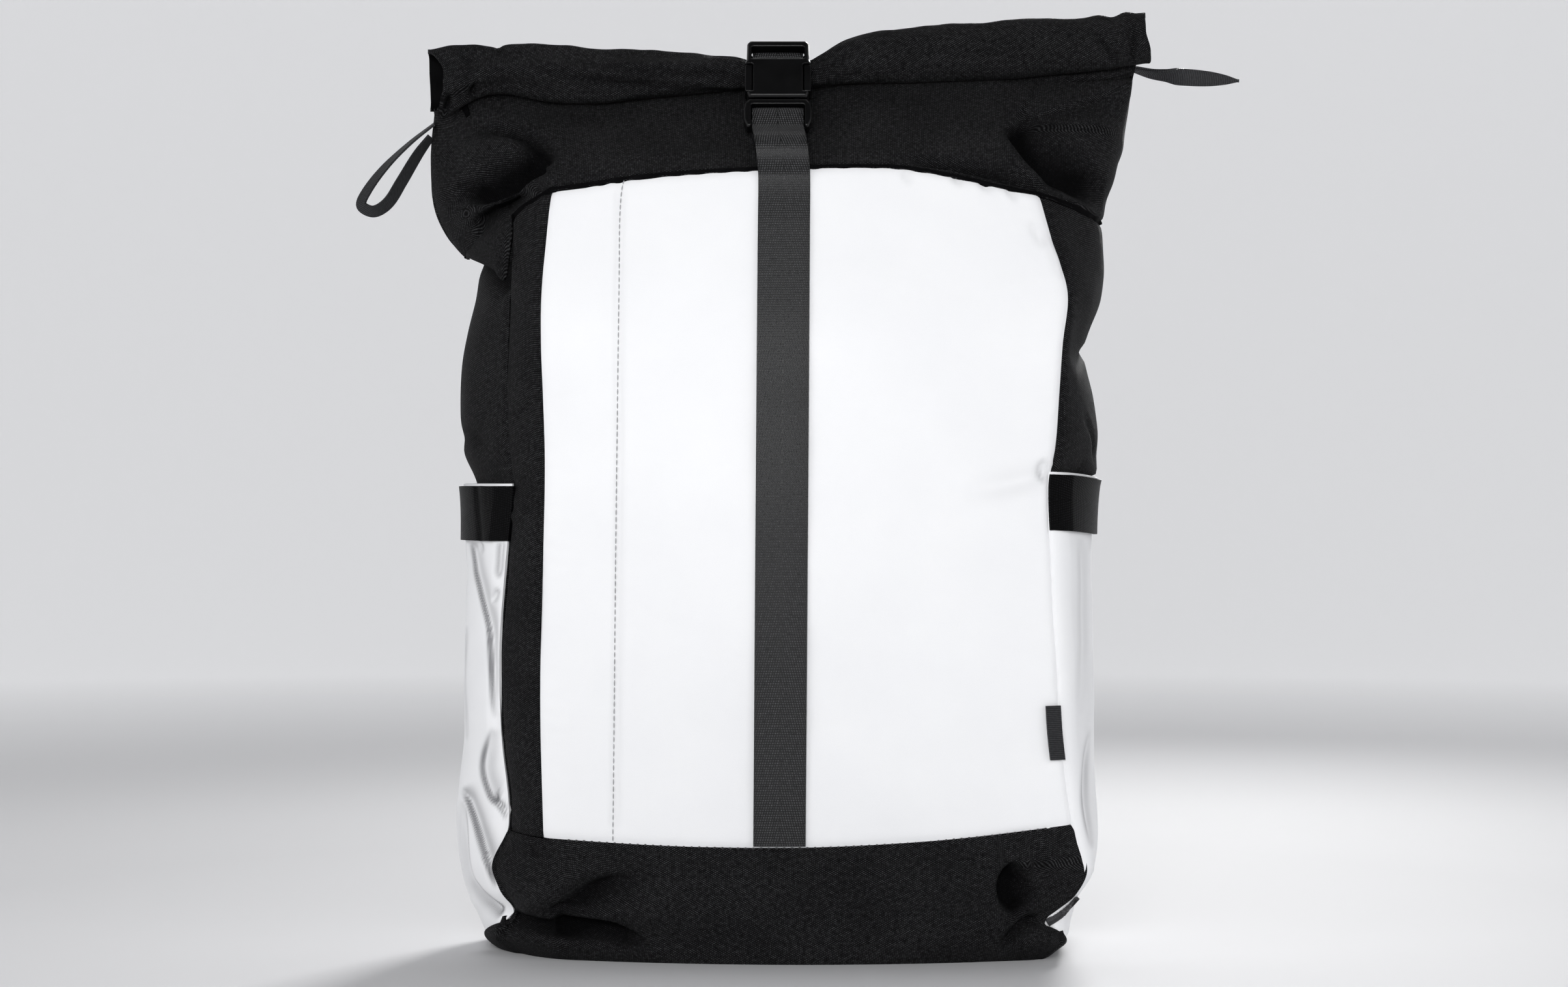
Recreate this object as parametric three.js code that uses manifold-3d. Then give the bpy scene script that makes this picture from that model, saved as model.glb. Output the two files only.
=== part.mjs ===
// Roll-top backpack: cloth panels sewn into a soft box, closed by a rolled collar under a buckled strap.
// Millimetres, +Z up, front towards -Y. The origin is on the underside of the base.
import * as THREE from "three";
import { mergeVertices } from "three/addons/utils/BufferGeometryUtils.js";
import Module from "manifold-3d";

// Thicknesses and widths
const CLOTH = 1.5;
const BOOT_CLOTH = 2;
const BACK_PAD = 6;
const ROLLED_CLOTH = 1.8;
const WEBBING = 1.4;
const WEBBING_WIDTH = 25;
const RIBBON = 1;
const RIBBON_WIDTH = 6.3;
const STRAP_PAD = 9;

// Distances between neighbouring pieces
const SEAM_INSET = 0.25;
const COLLAR_INSET = 0.55;
const LAYER_GAP = 0.6;
const BASE_CLEARANCE = 2.6;
const BOOT_INSET = 0.4;

// Front of the body at rising heights: the three upright seams, their depth, and how far the front bulges.
const FRONT_ROWS = [
  { z: 0, stripLeft: -127, seamLeft: -104, seamRight: 127, front: -42, crown: 17 },
  { z: 3, stripLeft: -130, seamLeft: -106, seamRight: 131, front: -45, crown: 15 },
  { z: 9, stripLeft: -135, seamLeft: -109, seamRight: 137, front: -50, crown: 11 },
  { z: 22, stripLeft: -132, seamLeft: -111, seamRight: 134, front: -55, crown: 8 },
  { z: 46, stripLeft: -138, seamLeft: -114, seamRight: 147, front: -60, crown: 6 },
  { z: 66, stripLeft: -130, seamLeft: -114, seamRight: 142, front: -62, crown: 6 },
  { z: 110, stripLeft: -135, seamLeft: -115, seamRight: 137, front: -63, crown: 7 },
  { z: 150, stripLeft: -136, seamLeft: -115, seamRight: 135, front: -64, crown: 8 },
  { z: 190, stripLeft: -133, seamLeft: -114, seamRight: 133, front: -65, crown: 8 },
  { z: 230, stripLeft: -129, seamLeft: -113, seamRight: 131, front: -65, crown: 8 },
  { z: 250, stripLeft: -131, seamLeft: -113, seamRight: 134, front: -64, crown: 8 },
  { z: 274, stripLeft: -132, seamLeft: -114, seamRight: 136, front: -63, crown: 8 },
  { z: 298, stripLeft: -132, seamLeft: -115, seamRight: 138, front: -62, crown: 8 },
  { z: 324, stripLeft: -132, seamLeft: -115, seamRight: 140, front: -59, crown: 7 },
  { z: 350, stripLeft: -131, seamLeft: -113, seamRight: 132, front: -54, crown: 7 },
  { z: 386, stripLeft: -129, seamLeft: -110, seamRight: 122, front: -47, crown: 7 },
];

// Sides and back of the body at rising heights: the gussets' reach, the back's half width and its depth.
const SIDE_ROWS = [
  { z: 0, left: -143, right: 139, backHalf: 140, back: 46 },
  { z: 3, left: -146, right: 141, backHalf: 141, back: 47 },
  { z: 9, left: -147, right: 143, backHalf: 142, back: 49 },
  { z: 22, left: -147, right: 144, backHalf: 143, back: 51 },
  { z: 46, left: -150, right: 148, backHalf: 143, back: 52 },
  { z: 66, left: -151, right: 148, backHalf: 144, back: 52 },
  { z: 110, left: -148, right: 147, backHalf: 144, back: 53 },
  { z: 150, left: -148, right: 146, backHalf: 144, back: 53 },
  { z: 190, left: -148, right: 146, backHalf: 144, back: 53 },
  { z: 230, left: -151, right: 150, backHalf: 144, back: 53 },
  { z: 250, left: -159, right: 158, backHalf: 144, back: 53 },
  { z: 274, left: -160, right: 156, backHalf: 144, back: 53 },
  { z: 298, left: -158, right: 151, backHalf: 144, back: 52 },
  { z: 324, left: -152, right: 160, backHalf: 144, back: 51 },
  { z: 350, left: -150, right: 161, backHalf: 143, back: 48 },
  { z: 386, left: -148, right: 156, backHalf: 142, back: 43 },
];
const STRIP_DEPTH = 20;
const STRIP_BOW = 2;
const BACK_BOW = 3;

// Corners of a section in order round the bag, with the length rounded off on each side of the corner
const CORNER_ROUND = [3, 7, 14, 14, 6];

// Past either end a webbing or ribbon path runs straight on, by this length for one whole path
const STRAIGHT_ON = 100;

// Places round the bag, counted in corners from the left front seam
const STRIP = 4;
const FRONT = 5;
const RIGHT = 6;
const BACK = 7;
const LEFT = 8;
const SIDES = 5;

// Seam between the boot and the panels above it, across the front
const BOOT_SEAM_ROWS = [
  { x: -132, z: 63 },
  { x: -113, z: 61 },
  { x: -50, z: 57.6 },
  { x: 0, z: 56.8 },
  { x: 50, z: 58.6 },
  { x: 95, z: 62 },
  { x: 146, z: 68 },
];

// Seam between the collar and the panels below it, round the bag
const COLLAR_SEAM_ROWS = [
  { at: 3.5, z: 344 },
  { at: 4, z: 361 },
  { at: 5, z: 374 },
  { at: 5.2, z: 380 },
  { at: 5.46, z: 383.5 },
  { at: 5.7, z: 384.5 },
  { at: 5.8, z: 381.5 },
  { at: 6, z: 371.5 },
  { at: 6.5, z: 361 },
  { at: 7, z: 370 },
  { at: 7.5, z: 374 },
  { at: 8, z: 370 },
  { at: 8.5, z: 344 },
];

// The collar's top edge, pressed flat behind the roll, and how far the cloth below it bulges.
// high is 0 where the bulge sits low on the collar and 1 where it sits half way up.
const COLLAR_TOP_ROWS = [
  { at: 3.5, x: -173, bulge: 11.6, high: 0.5 },
  { at: 4, x: -161, bulge: 9, high: 0.4 },
  { at: 5, x: -138, bulge: 5, high: 0.1 },
  { at: 5.46, x: 0, bulge: 1, high: 0 },
  { at: 6, x: 157, bulge: 4, high: 0.1 },
  { at: 6.5, x: 178, bulge: 3, high: 0.5 },
  { at: 7, x: 159, bulge: 5, high: 0.3 },
  { at: 7.5, x: 0, bulge: 7, high: 0.2 },
  { at: 8, x: -157, bulge: 7, high: 0.3 },
  { at: 8.5, x: -173, bulge: 11.6, high: 0.5 },
];
const COLLAR_HALF_GAP = 2.4;
const COLLAR_LEFT = 3.5;
const COLLAR_RIGHT = 6.5;
const COLLAR_END = 0.125;
const COLLAR_TUCK = 0.22;
const COLLAR_SET_BACK = 0.82;
const COLLAR_ROWS = 7;

// The roll: its lower and upper outline and half its depth, from left to right
const ROLL_ROWS = [
  { x: -174, bottom: 416, top: 450, half: 10 },
  { x: -150, bottom: 423, top: 450, half: 11 },
  { x: -118, bottom: 423, top: 448, half: 11 },
  { x: -76, bottom: 422, top: 446, half: 11 },
  { x: -34, bottom: 426, top: 444.5, half: 10 },
  { x: -15, bottom: 428, top: 442, half: 9 },
  { x: 15, bottom: 428.5, top: 442, half: 9 },
  { x: 34, bottom: 430, top: 453, half: 10 },
  { x: 66, bottom: 430.5, top: 459, half: 11 },
  { x: 112, bottom: 432.5, top: 462, half: 11 },
  { x: 160, bottom: 437, top: 465, half: 11 },
  { x: 182, bottom: 440.5, top: 466.5, half: 11 },
];
const ROLL_DEPTH_CENTRE = -3;
const ROLL_FROM = 62;
const ROLL_TO = 600;
const ROLL_STEPS = 26;
const ROLL_SIZE_ROWS = [
  { degrees: 62, size: 1 },
  { degrees: 240, size: 1 },
  { degrees: 340, size: 0.95 },
  { degrees: 400, size: 0.78 },
  { degrees: 450, size: 0.68 },
  { degrees: 600, size: 0.56 },
];

// Dents and tucks pressed into the cloth: centre, reach along the fold, reach across it, lean, depth
const DENTS = [
  { name: "boot left tuck", x: -98, y: -54, z: 18, along: 40, across: 6, lean: -8, depth: 7 },
  { name: "boot left dent", x: -100, y: -60, z: 35, along: 15, across: 7, lean: 25, depth: 4 },
  { name: "boot right dent", x: 120, y: -60, z: 38, along: 15, across: 12, lean: 0, depth: 5 },
  { name: "boot right tuck", x: 122, y: -50, z: 19, along: 18, across: 6, lean: 35, depth: 4.5 },
  { name: "collar left fold", x: -126, y: -40, z: 386, along: 17, across: 13, lean: 35, depth: 9 },
  { name: "collar left ridge", x: -140, y: -28, z: 368, along: 26, across: 8, lean: 35, depth: -4 },
  { name: "collar right fold", x: 138, y: -24, z: 393, along: 28, across: 7, lean: -40, depth: 7 },
  { name: "collar right ridge", x: 150, y: -14, z: 410, along: 26, across: 7, lean: -30, depth: -3 },
];
const DENT_DEPTH_REACH = 45;

// Side pockets: foot and mouth heights, and the webbing band round the mouth
const POCKET_ROWS = [
  { side: "left", foot: 16, mouth: 233.5, bandFrom: 205, bandTo: 232 },
  { side: "right", foot: 8, mouth: 237.5, bandFrom: 209, bandTo: 236 },
];
const POCKET_FULLNESS = [
  { z: 0, bulge: 2 },
  { z: 40, bulge: 8 },
  { z: 120, bulge: 7.5 },
  { z: 190, bulge: 7 },
  { z: 240, bulge: 4 },
];

// Bare tab in the right front seam
const TAB_WIDTH = 7.5;
const TAB_FROM = 99;
const TAB_TO = 125;

// Buckle: place and lean, then sizes along its own length
const BUCKLE_ACROSS = -0.8;
const BUCKLE_DEPTH = -26;
const BUCKLE_HEIGHT = 428.3;
const BUCKLE_LEAN = THREE.MathUtils.degToRad(33);
const SLOT_HALF = 13.1;
const CUT_THROUGH = 9;
const BUCKLE_REACH = 20;
const SOCKET = { top: 24, barFrom: 20, gapFrom: 12, bottom: -12, half: 15.4, thick: 9, bevel: 1.2 };
const SOCKET_TOP_BAR_BACK = 1.5;
const SOCKET_BAR = { from: 14.8, to: 16.8, front: -0.5, back: 2.2 };
const WINDOW = { from: -8.5, to: 9, inner: 12.2 };
const CAVITY = { half: 11.4, halfDeep: 2.6 };
const PLUG = { top: -12.4, gapTo: -16, gapFrom: -27.4, bottom: -30, half: 16.8, thick: 7, bevel: 1 };
const PLUG_BAR = { from: -21.5, to: -18.5, front: -1.2, back: 2.2 };
const PRONG = { arm: 7.6, head: 16.2, halfDeep: 2.2, headHalfDeep: 3.7, clearance: 0.4 };

// The centre strap's flat run on the front panel, and its drift to the right on the way up
const CENTRE_STRAP = { sewnFrom: 58, sewnTo: 379, lean: 2.3 };

// Paths of the webbing through the buckle, in the buckle's own depth and length
const LOWER_WEBBING_ROWS = [
  { deep: -2.6, long: -30 },
  { deep: -2.45, long: -24 },
  { deep: -2.4, long: -19.5 },
  { deep: -1.6, long: -17.9 },
  { deep: 0.5, long: -17.35 },
  { deep: 2.7, long: -17.9 },
  { deep: 3.5, long: -19.5 },
  { deep: 3.6, long: -24 },
  { deep: 3.4, long: -31 },
  { deep: 2.2, long: -37 },
];
const FREE_WEBBING_ROWS = [
  { x: 1.6, y: -58, z: 387.5 },
  { x: 0, y: -53.4, z: 396 },
];
const UPPER_WEBBING_ROWS = [
  { deep: 5.9, long: 2 },
  { deep: 5.9, long: 8 },
  { deep: 5.6, long: 12 },
  { deep: 3.6, long: 13.4 },
  { deep: 0, long: 13.4 },
  { deep: -1.5, long: 14.5 },
  { deep: -1.6, long: 15.8 },
  { deep: -1.5, long: 17.1 },
  { deep: 0, long: 18.3 },
  { deep: 2.2, long: 19 },
  { deep: 2.9, long: 21 },
  { deep: 3.1, long: 24.5 },
];
const OVER_ROLL_ROWS = [
  { y: -4, z: 446.8 },
  { y: 3, z: 444 },
  { y: 8.6, z: 438.5 },
];
const DOWN_BACK_ROWS = [{ z: 366 }, { z: 352 }];
const BACK_MIDDLE = 7.5;
const COLLAR_SLACK = 0.9;

// Ribbon loop at the left: points on its middle line, and how far its width turns from depth to view
const LEFT_LOOP_ROWS = [
  { x: -172.9, z: 411.5, turn: 15 },
  { x: -185, z: 402, turn: 20 },
  { x: -197.4, z: 390, turn: 28 },
  { x: -206.5, z: 378, turn: 40 },
  { x: -209.4, z: 370.5, turn: 50 },
  { x: -203, z: 367.2, turn: 55 },
  { x: -195.6, z: 371.5, turn: 55 },
  { x: -188.8, z: 382, turn: 50 },
  { x: -180.6, z: 395.5, turn: 40 },
  { x: -173.9, z: 404.5, turn: 20 },
];

// Ribbon loop at the right, folded flat: points on its middle line, and the turn of its width
const RIGHT_LOOP_ROWS = [
  { x: 177.6, z: 438.4, turn: 5 },
  { x: 186, z: 436.2, turn: 40 },
  { x: 193, z: 435.4, turn: 80 },
  { x: 204, z: 434.4, turn: 84 },
  { x: 228.5, z: 432.8, turn: 80 },
];
const RIGHT_LOOP_HALF_GAP = 1.2;

// Shoulder strap on the right: outer face of the pad, then of its webbing, as distance off the back panel
const PAD_ROWS = [
  { x: 44, off: 0.6, z: 362, width: 54 },
  { x: 44.5, off: 12, z: 363, width: 56 },
  { x: 47, off: 26, z: 353, width: 60 },
  { x: 53, off: 36, z: 328, width: 62 },
  { x: 62, off: 40, z: 284, width: 62 },
  { x: 73, off: 38, z: 234, width: 60 },
  { x: 86, off: 31, z: 184, width: 54 },
  { x: 98, off: 22, z: 138, width: 34 },
];
const LOWER_STRAP_ROWS = [
  { x: 98.4, off: 17.4, z: 137, width: WEBBING_WIDTH },
  { x: 106, off: 13, z: 106, width: WEBBING_WIDTH },
  { x: 115, off: 7, z: 68, width: WEBBING_WIDTH },
  { x: 120, off: 2.4, z: 46, width: WEBBING_WIDTH },
  { x: 121.5, off: 2.1, z: 36, width: WEBBING_WIDTH },
];

// Materials
const cloth = new THREE.MeshStandardMaterial({ color: 0x17181a, roughness: 0.95 });
const reflective = new THREE.MeshStandardMaterial({ color: 0xe9eaeb, roughness: 0.6 });
const webbing = new THREE.MeshStandardMaterial({ color: 0x232427, roughness: 0.9 });
const ribbon = new THREE.MeshStandardMaterial({ color: 0x2a2b2e, roughness: 0.9 });
const plastic = new THREE.MeshStandardMaterial({ color: 0x141517, roughness: 0.5 });

const wasm = await Module();
wasm.setup();
const backpack = new THREE.Group();
backpack.name = "roll_top_backpack";

// Adds one piece to the bag.
function addPiece(name, geometry, material) {
  const mesh = new THREE.Mesh(geometry, material);
  mesh.name = name;
  backpack.add(mesh);
}

// Every column of a table at one value of its key, as a smooth curve through the rows.
function blend(rows, key, at) {
  const last = rows.length - 1;
  let i = 0;
  while (i < last - 1 && rows[i + 1][key] < at) i += 1;
  const a = rows[i];
  const b = rows[i + 1];
  const before = rows[Math.max(i - 1, 0)];
  const after = rows[Math.min(i + 2, last)];
  const span = b[key] - a[key];
  const t = THREE.MathUtils.clamp((at - a[key]) / span, 0, 1);
  const out = {};
  for (const name of Object.keys(a).filter((column) => typeof a[column] === "number")) {
    const slopeA = ((b[name] - before[name]) / (b[key] - before[key])) * span;
    const slopeB = ((after[name] - a[name]) / (after[key] - a[key])) * span;
    const rise = b[name] - a[name];
    const bendA = slopeA - rise;
    const bendB = rise - slopeB;
    out[name] = a[name] + rise * t + t * (1 - t) * (bendA * (1 - t) + bendB * t);
  }
  return out;
}

// Values from one end to the other in equal steps, both ends included.
function steps(from, to, count) {
  return Array.from({ length: count + 1 }, (_, i) => from + ((to - from) * i) / count);
}

// The place on a panel's edge moved in by the seam inset, for a panel side of the given length.
function insetSteps(from, to, count, length) {
  const inset = SEAM_INSET / length;
  const places = steps(from, to, count);
  places[0] += inset;
  places[count] -= inset;
  return places;
}

// The outward direction of a surface at one place, from its slopes along both parameters.
function outward(face, u, v) {
  const small = 1e-4;
  const along = face(u + small, v).sub(face(u - small, v));
  const up = face(u, v + small).sub(face(u, v - small));
  return along.cross(up).normalize();
}

// A closed sheet of cloth: its outer side is face(u, v), its inner side lies one thickness behind.
function sheet(face, us, vs, thickness, out = (u, v) => outward(face, u, v)) {
  const columns = us.length;
  const rows = vs.length;
  const inner = columns * rows;
  const points = [];
  for (const depth of [0, thickness]) {
    for (const v of vs) {
      for (const u of us) {
        points.push(face(u, v).addScaledVector(out(u, v), -depth));
      }
    }
  }
  const faces = [];
  const quad = (a, b, c, d) => faces.push(a, b, c, a, c, d);
  for (let j = 0; j < rows - 1; j += 1) {
    for (let i = 0; i < columns - 1; i += 1) {
      const a = j * columns + i;
      const d = a + columns;
      quad(a, a + 1, d + 1, d);
      quad(inner + a, inner + d, inner + d + 1, inner + a + 1);
    }
  }
  for (let i = 0; i < columns - 1; i += 1) {
    const top = (rows - 1) * columns + i;
    quad(i, inner + i, inner + i + 1, i + 1);
    quad(top, top + 1, inner + top + 1, inner + top);
  }
  for (let j = 0; j < rows - 1; j += 1) {
    const left = j * columns;
    const right = left + columns - 1;
    quad(left, left + columns, inner + left + columns, inner + left);
    quad(right, inner + right, inner + right + columns, right + columns);
  }
  const geometry = new THREE.BufferGeometry().setFromPoints(points);
  geometry.setIndex(faces);
  geometry.computeVertexNormals();
  return geometry;
}

// One side of a section before its corners are rounded, as a straight line that bows outwards.
function bowedSide(corners, bows, side, t) {
  const a = corners[side];
  const b = corners[(side + 1) % SIDES];
  const along = b.clone().sub(a);
  const out = new THREE.Vector2(along.y, -along.x).normalize();
  return a.clone().addScaledVector(along, t).addScaledVector(out, bows[side] * 4 * t * (1 - t));
}

// All sizes of the body's section at one height.
function section(z) {
  return { ...blend(FRONT_ROWS, "z", z), ...blend(SIDE_ROWS, "z", z) };
}

// A point of the body's outline at one height. Whole numbers are the corners.
function outline(at, z) {
  const row = section(z);
  const corners = [
    new THREE.Vector2(row.seamLeft, row.front),
    new THREE.Vector2(row.seamRight, row.front),
    new THREE.Vector2(row.backHalf, row.back),
    new THREE.Vector2(-row.backHalf, row.back),
    new THREE.Vector2(row.stripLeft, row.front + STRIP_DEPTH),
  ];
  const rightBow = row.right - (row.seamRight + row.backHalf) / 2;
  const leftBow = -row.left + (row.stripLeft - row.backHalf) / 2;
  const bows = [row.crown, rightBow, BACK_BOW, leftBow, STRIP_BOW];
  const turn = ((at % SIDES) + SIDES) % SIDES;
  const side = Math.floor(turn) % SIDES;
  const t = turn - Math.floor(turn);
  const next = (side + 1) % SIDES;
  const before = (side + SIDES - 1) % SIDES;
  const length = corners[side].distanceTo(corners[next]);
  const startCut = CORNER_ROUND[side] / length;
  const endCut = 1 - CORNER_ROUND[next] / length;
  if (t < startCut) {
    const beforeLength = corners[before].distanceTo(corners[side]);
    const from = bowedSide(corners, bows, before, 1 - CORNER_ROUND[side] / beforeLength);
    const to = bowedSide(corners, bows, side, startCut);
    return roundCorner(from, corners[side], to, 0.5 + (0.5 * t) / startCut);
  }
  if (t > endCut) {
    const afterLength = corners[next].distanceTo(corners[(next + 1) % SIDES]);
    const from = bowedSide(corners, bows, side, endCut);
    const to = bowedSide(corners, bows, next, CORNER_ROUND[next] / afterLength);
    return roundCorner(from, corners[next], to, (0.5 * (t - endCut)) / (1 - endCut));
  }
  return bowedSide(corners, bows, side, t);
}

// A point on the rounded corner between two places, pulled towards the sharp corner.
function roundCorner(from, corner, to, q) {
  const a = from.clone().lerp(corner, q);
  const b = corner.clone().lerp(to, q);
  return a.lerp(b, q);
}

// The depth of all dents together at one place. A ridge counts as a negative depth.
function dentDepth(point) {
  let depth = 0;
  for (const dent of DENTS) {
    const lean = THREE.MathUtils.degToRad(dent.lean);
    const dx = point.x - dent.x;
    const dz = point.z - dent.z;
    const along = (dx * Math.cos(lean) + dz * Math.sin(lean)) / dent.along;
    const across = (dz * Math.cos(lean) - dx * Math.sin(lean)) / dent.across;
    const deep = (point.y - dent.y) / DENT_DEPTH_REACH;
    depth += dent.depth * Math.exp(-(along * along + across * across + deep * deep));
  }
  return depth;
}

// The level outward direction of the body at one place.
function levelOut(at, z) {
  const small = 1e-3;
  const along = outline(at + small, z).sub(outline(at - small, z));
  return new THREE.Vector3(along.y, -along.x, 0).normalize();
}

// The outer surface of the body, dents included.
function body(at, z) {
  const flat = outline(at, z);
  const point = new THREE.Vector3(flat.x, flat.y, z);
  return point.addScaledVector(levelOut(at, z), -dentDepth(point));
}

// The body's surface at one place across the front or the back.
function frontAt(x, z) {
  const row = section(z);
  return body(FRONT + (x - row.seamLeft) / (row.seamRight - row.seamLeft), z);
}

function backAt(x, z) {
  const row = section(z);
  return body(BACK + (row.backHalf - x) / (2 * row.backHalf), z);
}

function bootSeam(at) {
  return blend(BOOT_SEAM_ROWS, "x", outline(at, 60).x).z;
}

function collarSeam(at) {
  const turn = at < COLLAR_LEFT ? at + SIDES : at;
  return blend(COLLAR_SEAM_ROWS, "at", turn > COLLAR_LEFT + SIDES ? turn - SIDES : turn).z;
}

// The height of a grid row, counted in rows. A level is a number or depends on the place round the bag.
function levelHeight(levels, at, row) {
  const i = THREE.MathUtils.clamp(Math.floor(row), 0, levels.length - 2);
  const height = (level) => (typeof level === "number" ? level : level(at));
  return THREE.MathUtils.lerp(height(levels[i]), height(levels[i + 1]), row - i);
}

// A body panel with a grid row at each level
function panel(grid, levels, thickness) {
  const face = (at, row) => body(at, levelHeight(levels, at, row));
  return sheet(face, grid, levels.map((_, i) => i), thickness);
}

// Grid lines shared by neighbouring panels, so that their seams follow the same straight pieces
const FRONT_COLUMNS = 14;
const STRIP_COLUMNS = 3;
const GUSSET_COLUMNS = 8;
const BACK_COLUMNS = 8;
const BOOT_LEVELS = [8, 16, 24, 32, 40, 48];
const PANEL_LEVELS = [84, 110, 136, 162, 188, 210, 230, 250, 270, 290, 310, 330];
const FRONT_LENGTH = 250;
const STRIP_LENGTH = 27;
const GUSSET_LENGTH = 120;
const BACK_LENGTH = 288;

// Front panel, strip, gussets and back
const overBoot = (at) => bootSeam(at) + SEAM_INSET;
const underCollar = (at) => collarSeam(at) - SEAM_INSET;
const belowCollar = (at) => (PANEL_LEVELS.at(-1) + underCollar(at)) / 2;
const frontLevels = [overBoot, ...PANEL_LEVELS, belowCollar, underCollar];
const gussetLevels = (corner) => [...BOOT_LEVELS, bootSeam(corner), ...PANEL_LEVELS];
const sideLevels = (corner) => [BASE_CLEARANCE, ...gussetLevels(corner), belowCollar, underCollar];
const frontGrid = insetSteps(FRONT, RIGHT, FRONT_COLUMNS, FRONT_LENGTH);
const stripGrid = insetSteps(STRIP, FRONT, STRIP_COLUMNS, STRIP_LENGTH);
const rightGrid = insetSteps(RIGHT, BACK, GUSSET_COLUMNS, GUSSET_LENGTH);
const backGrid = insetSteps(BACK, LEFT, BACK_COLUMNS, BACK_LENGTH);
const leftGrid = insetSteps(LEFT, LEFT + 1, GUSSET_COLUMNS, GUSSET_LENGTH);
addPiece("front_panel", panel(frontGrid, frontLevels, CLOTH), reflective);
addPiece("front_strip", panel(stripGrid, frontLevels, CLOTH), cloth);
addPiece("gusset_left", panel(leftGrid, sideLevels(STRIP), CLOTH), cloth);
addPiece("gusset_right", panel(rightGrid, sideLevels(RIGHT), CLOTH), cloth);
addPiece("back_panel", panel(backGrid, sideLevels(RIGHT), BACK_PAD), cloth);

// Boot: the lower front, turned under at the floor line to become the base
const bootLevels = [(at) => bootSeam(at) - SEAM_INSET, ...BOOT_LEVELS.toReversed(), BASE_CLEARANCE, 0];
const TURN_UNDER = bootLevels.length - 1;
const BASE_ROWS = 4;

// A point of the flat base, stretched between its four edges.
function baseAt(at, back) {
  const corner = [outline(STRIP, 0), outline(RIGHT, 0), outline(BACK, 0), outline(LEFT, 0)];
  const edge = outline(at, 0);
  const right = (edge.x - corner[0].x) / (corner[1].x - corner[0].x);
  const left = 1 - right;
  const flat = edge.multiplyScalar(1 - back);
  flat.addScaledVector(outline(LEFT - right, 0), back);
  flat.addScaledVector(outline(STRIP - back, 0), left);
  flat.addScaledVector(outline(RIGHT + back, 0), right);
  flat.addScaledVector(corner[0], -left * (1 - back)).addScaledVector(corner[1], -right * (1 - back));
  flat.addScaledVector(corner[2], -right * back).addScaledVector(corner[3], -left * back);
  return new THREE.Vector3(flat.x, flat.y, 0);
}

function bootFace(at, row) {
  if (row <= TURN_UNDER) return body(at, levelHeight(bootLevels, at, row));
  return baseAt(at, (row - TURN_UNDER) / BASE_ROWS);
}

const stripAndFront = steps(STRIP, FRONT, STRIP_COLUMNS).concat(steps(FRONT, RIGHT, FRONT_COLUMNS).slice(1));
stripAndFront[0] += BOOT_INSET / STRIP_LENGTH;
stripAndFront[stripAndFront.length - 1] -= BOOT_INSET / FRONT_LENGTH;
const bootDown = (leftwards, row) => bootFace(-leftwards, row);
const bootGrid = stripAndFront.map((at) => -at).reverse();
const bootRows = steps(0, TURN_UNDER + BASE_ROWS, TURN_UNDER + BASE_ROWS);
// At the turn the thickness lies between that of the front and that of the base.
const bootOut = (leftwards, row) => {
  if (row !== TURN_UNDER) return outward(bootDown, leftwards, row);
  const above = outward(bootDown, leftwards, row - 0.1);
  const below = outward(bootDown, leftwards, row + 0.1);
  return above.add(below).normalize();
};
addPiece("boot", sheet(bootDown, bootGrid, bootRows, BOOT_CLOTH, bootOut), cloth);

// Collar: from the seam round the body up to a flat slot under the roll
function collarFace(place, v) {
  const at = place < COLLAR_LEFT ? place + SIDES : place > COLLAR_LEFT + SIDES ? place - SIDES : place;
  const seam = collarSeam(at) + SEAM_INSET;
  const low = outline(at, seam);
  const row = blend(COLLAR_TOP_ROWS, "at", at);
  const ends = [COLLAR_LEFT, COLLAR_RIGHT, COLLAR_LEFT + SIDES];
  const fromEnd = Math.min(...ends.map((end) => Math.abs(at - end)));
  const closing = Math.max(1 - fromEnd / COLLAR_END, 0);
  const half = COLLAR_HALF_GAP * Math.sqrt(1 - closing * closing);
  const roll = blend(ROLL_ROWS, "x", row.x);
  const height = roll.bottom + (roll.top - roll.bottom) * COLLAR_TUCK - LAYER_GAP;
  const depth = ROLL_DEPTH_CENTRE + roll.half * COLLAR_SET_BACK;
  const to = new THREE.Vector3(row.x, depth + (at < COLLAR_RIGHT ? -half : half), height);
  const point = new THREE.Vector3(low.x, low.y, seam).lerp(to, v);
  const out = levelOut(at, seam);
  const fullness = v * (1 - v) * THREE.MathUtils.lerp(6.75 * (1 - v), 4, row.high);
  point.addScaledVector(out, row.bulge * fullness);
  return point.addScaledVector(out, -dentDepth(point) * (1 - v ** 4));
}

// Along the seam the collar's thickness lies square to the body, so that it meets the panels evenly.
function collarOut(at, v) {
  return v === 0 ? levelOut(at, collarSeam(at)) : outward(collarFace, at, v);
}

const collarFrontGrid = [
  ...steps(COLLAR_LEFT, STRIP, GUSSET_COLUMNS / 2),
  ...steps(STRIP, FRONT, STRIP_COLUMNS).slice(1),
  ...steps(FRONT, RIGHT, FRONT_COLUMNS).slice(1),
  ...steps(RIGHT, COLLAR_RIGHT, GUSSET_COLUMNS / 2).slice(1),
];
const collarBackGrid = [
  ...steps(COLLAR_RIGHT, BACK, GUSSET_COLUMNS / 2),
  ...steps(BACK, LEFT, BACK_COLUMNS).slice(1),
  ...steps(LEFT, COLLAR_LEFT + SIDES, GUSSET_COLUMNS / 2).slice(1),
];
for (const grid of [collarFrontGrid, collarBackGrid]) {
  grid[0] += COLLAR_INSET / GUSSET_LENGTH;
  grid[grid.length - 1] -= COLLAR_INSET / GUSSET_LENGTH;
}
const collarRise = steps(0, 1, COLLAR_ROWS);
addPiece("collar_front", sheet(collarFace, collarFrontGrid, collarRise, CLOTH, collarOut), cloth);
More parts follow.
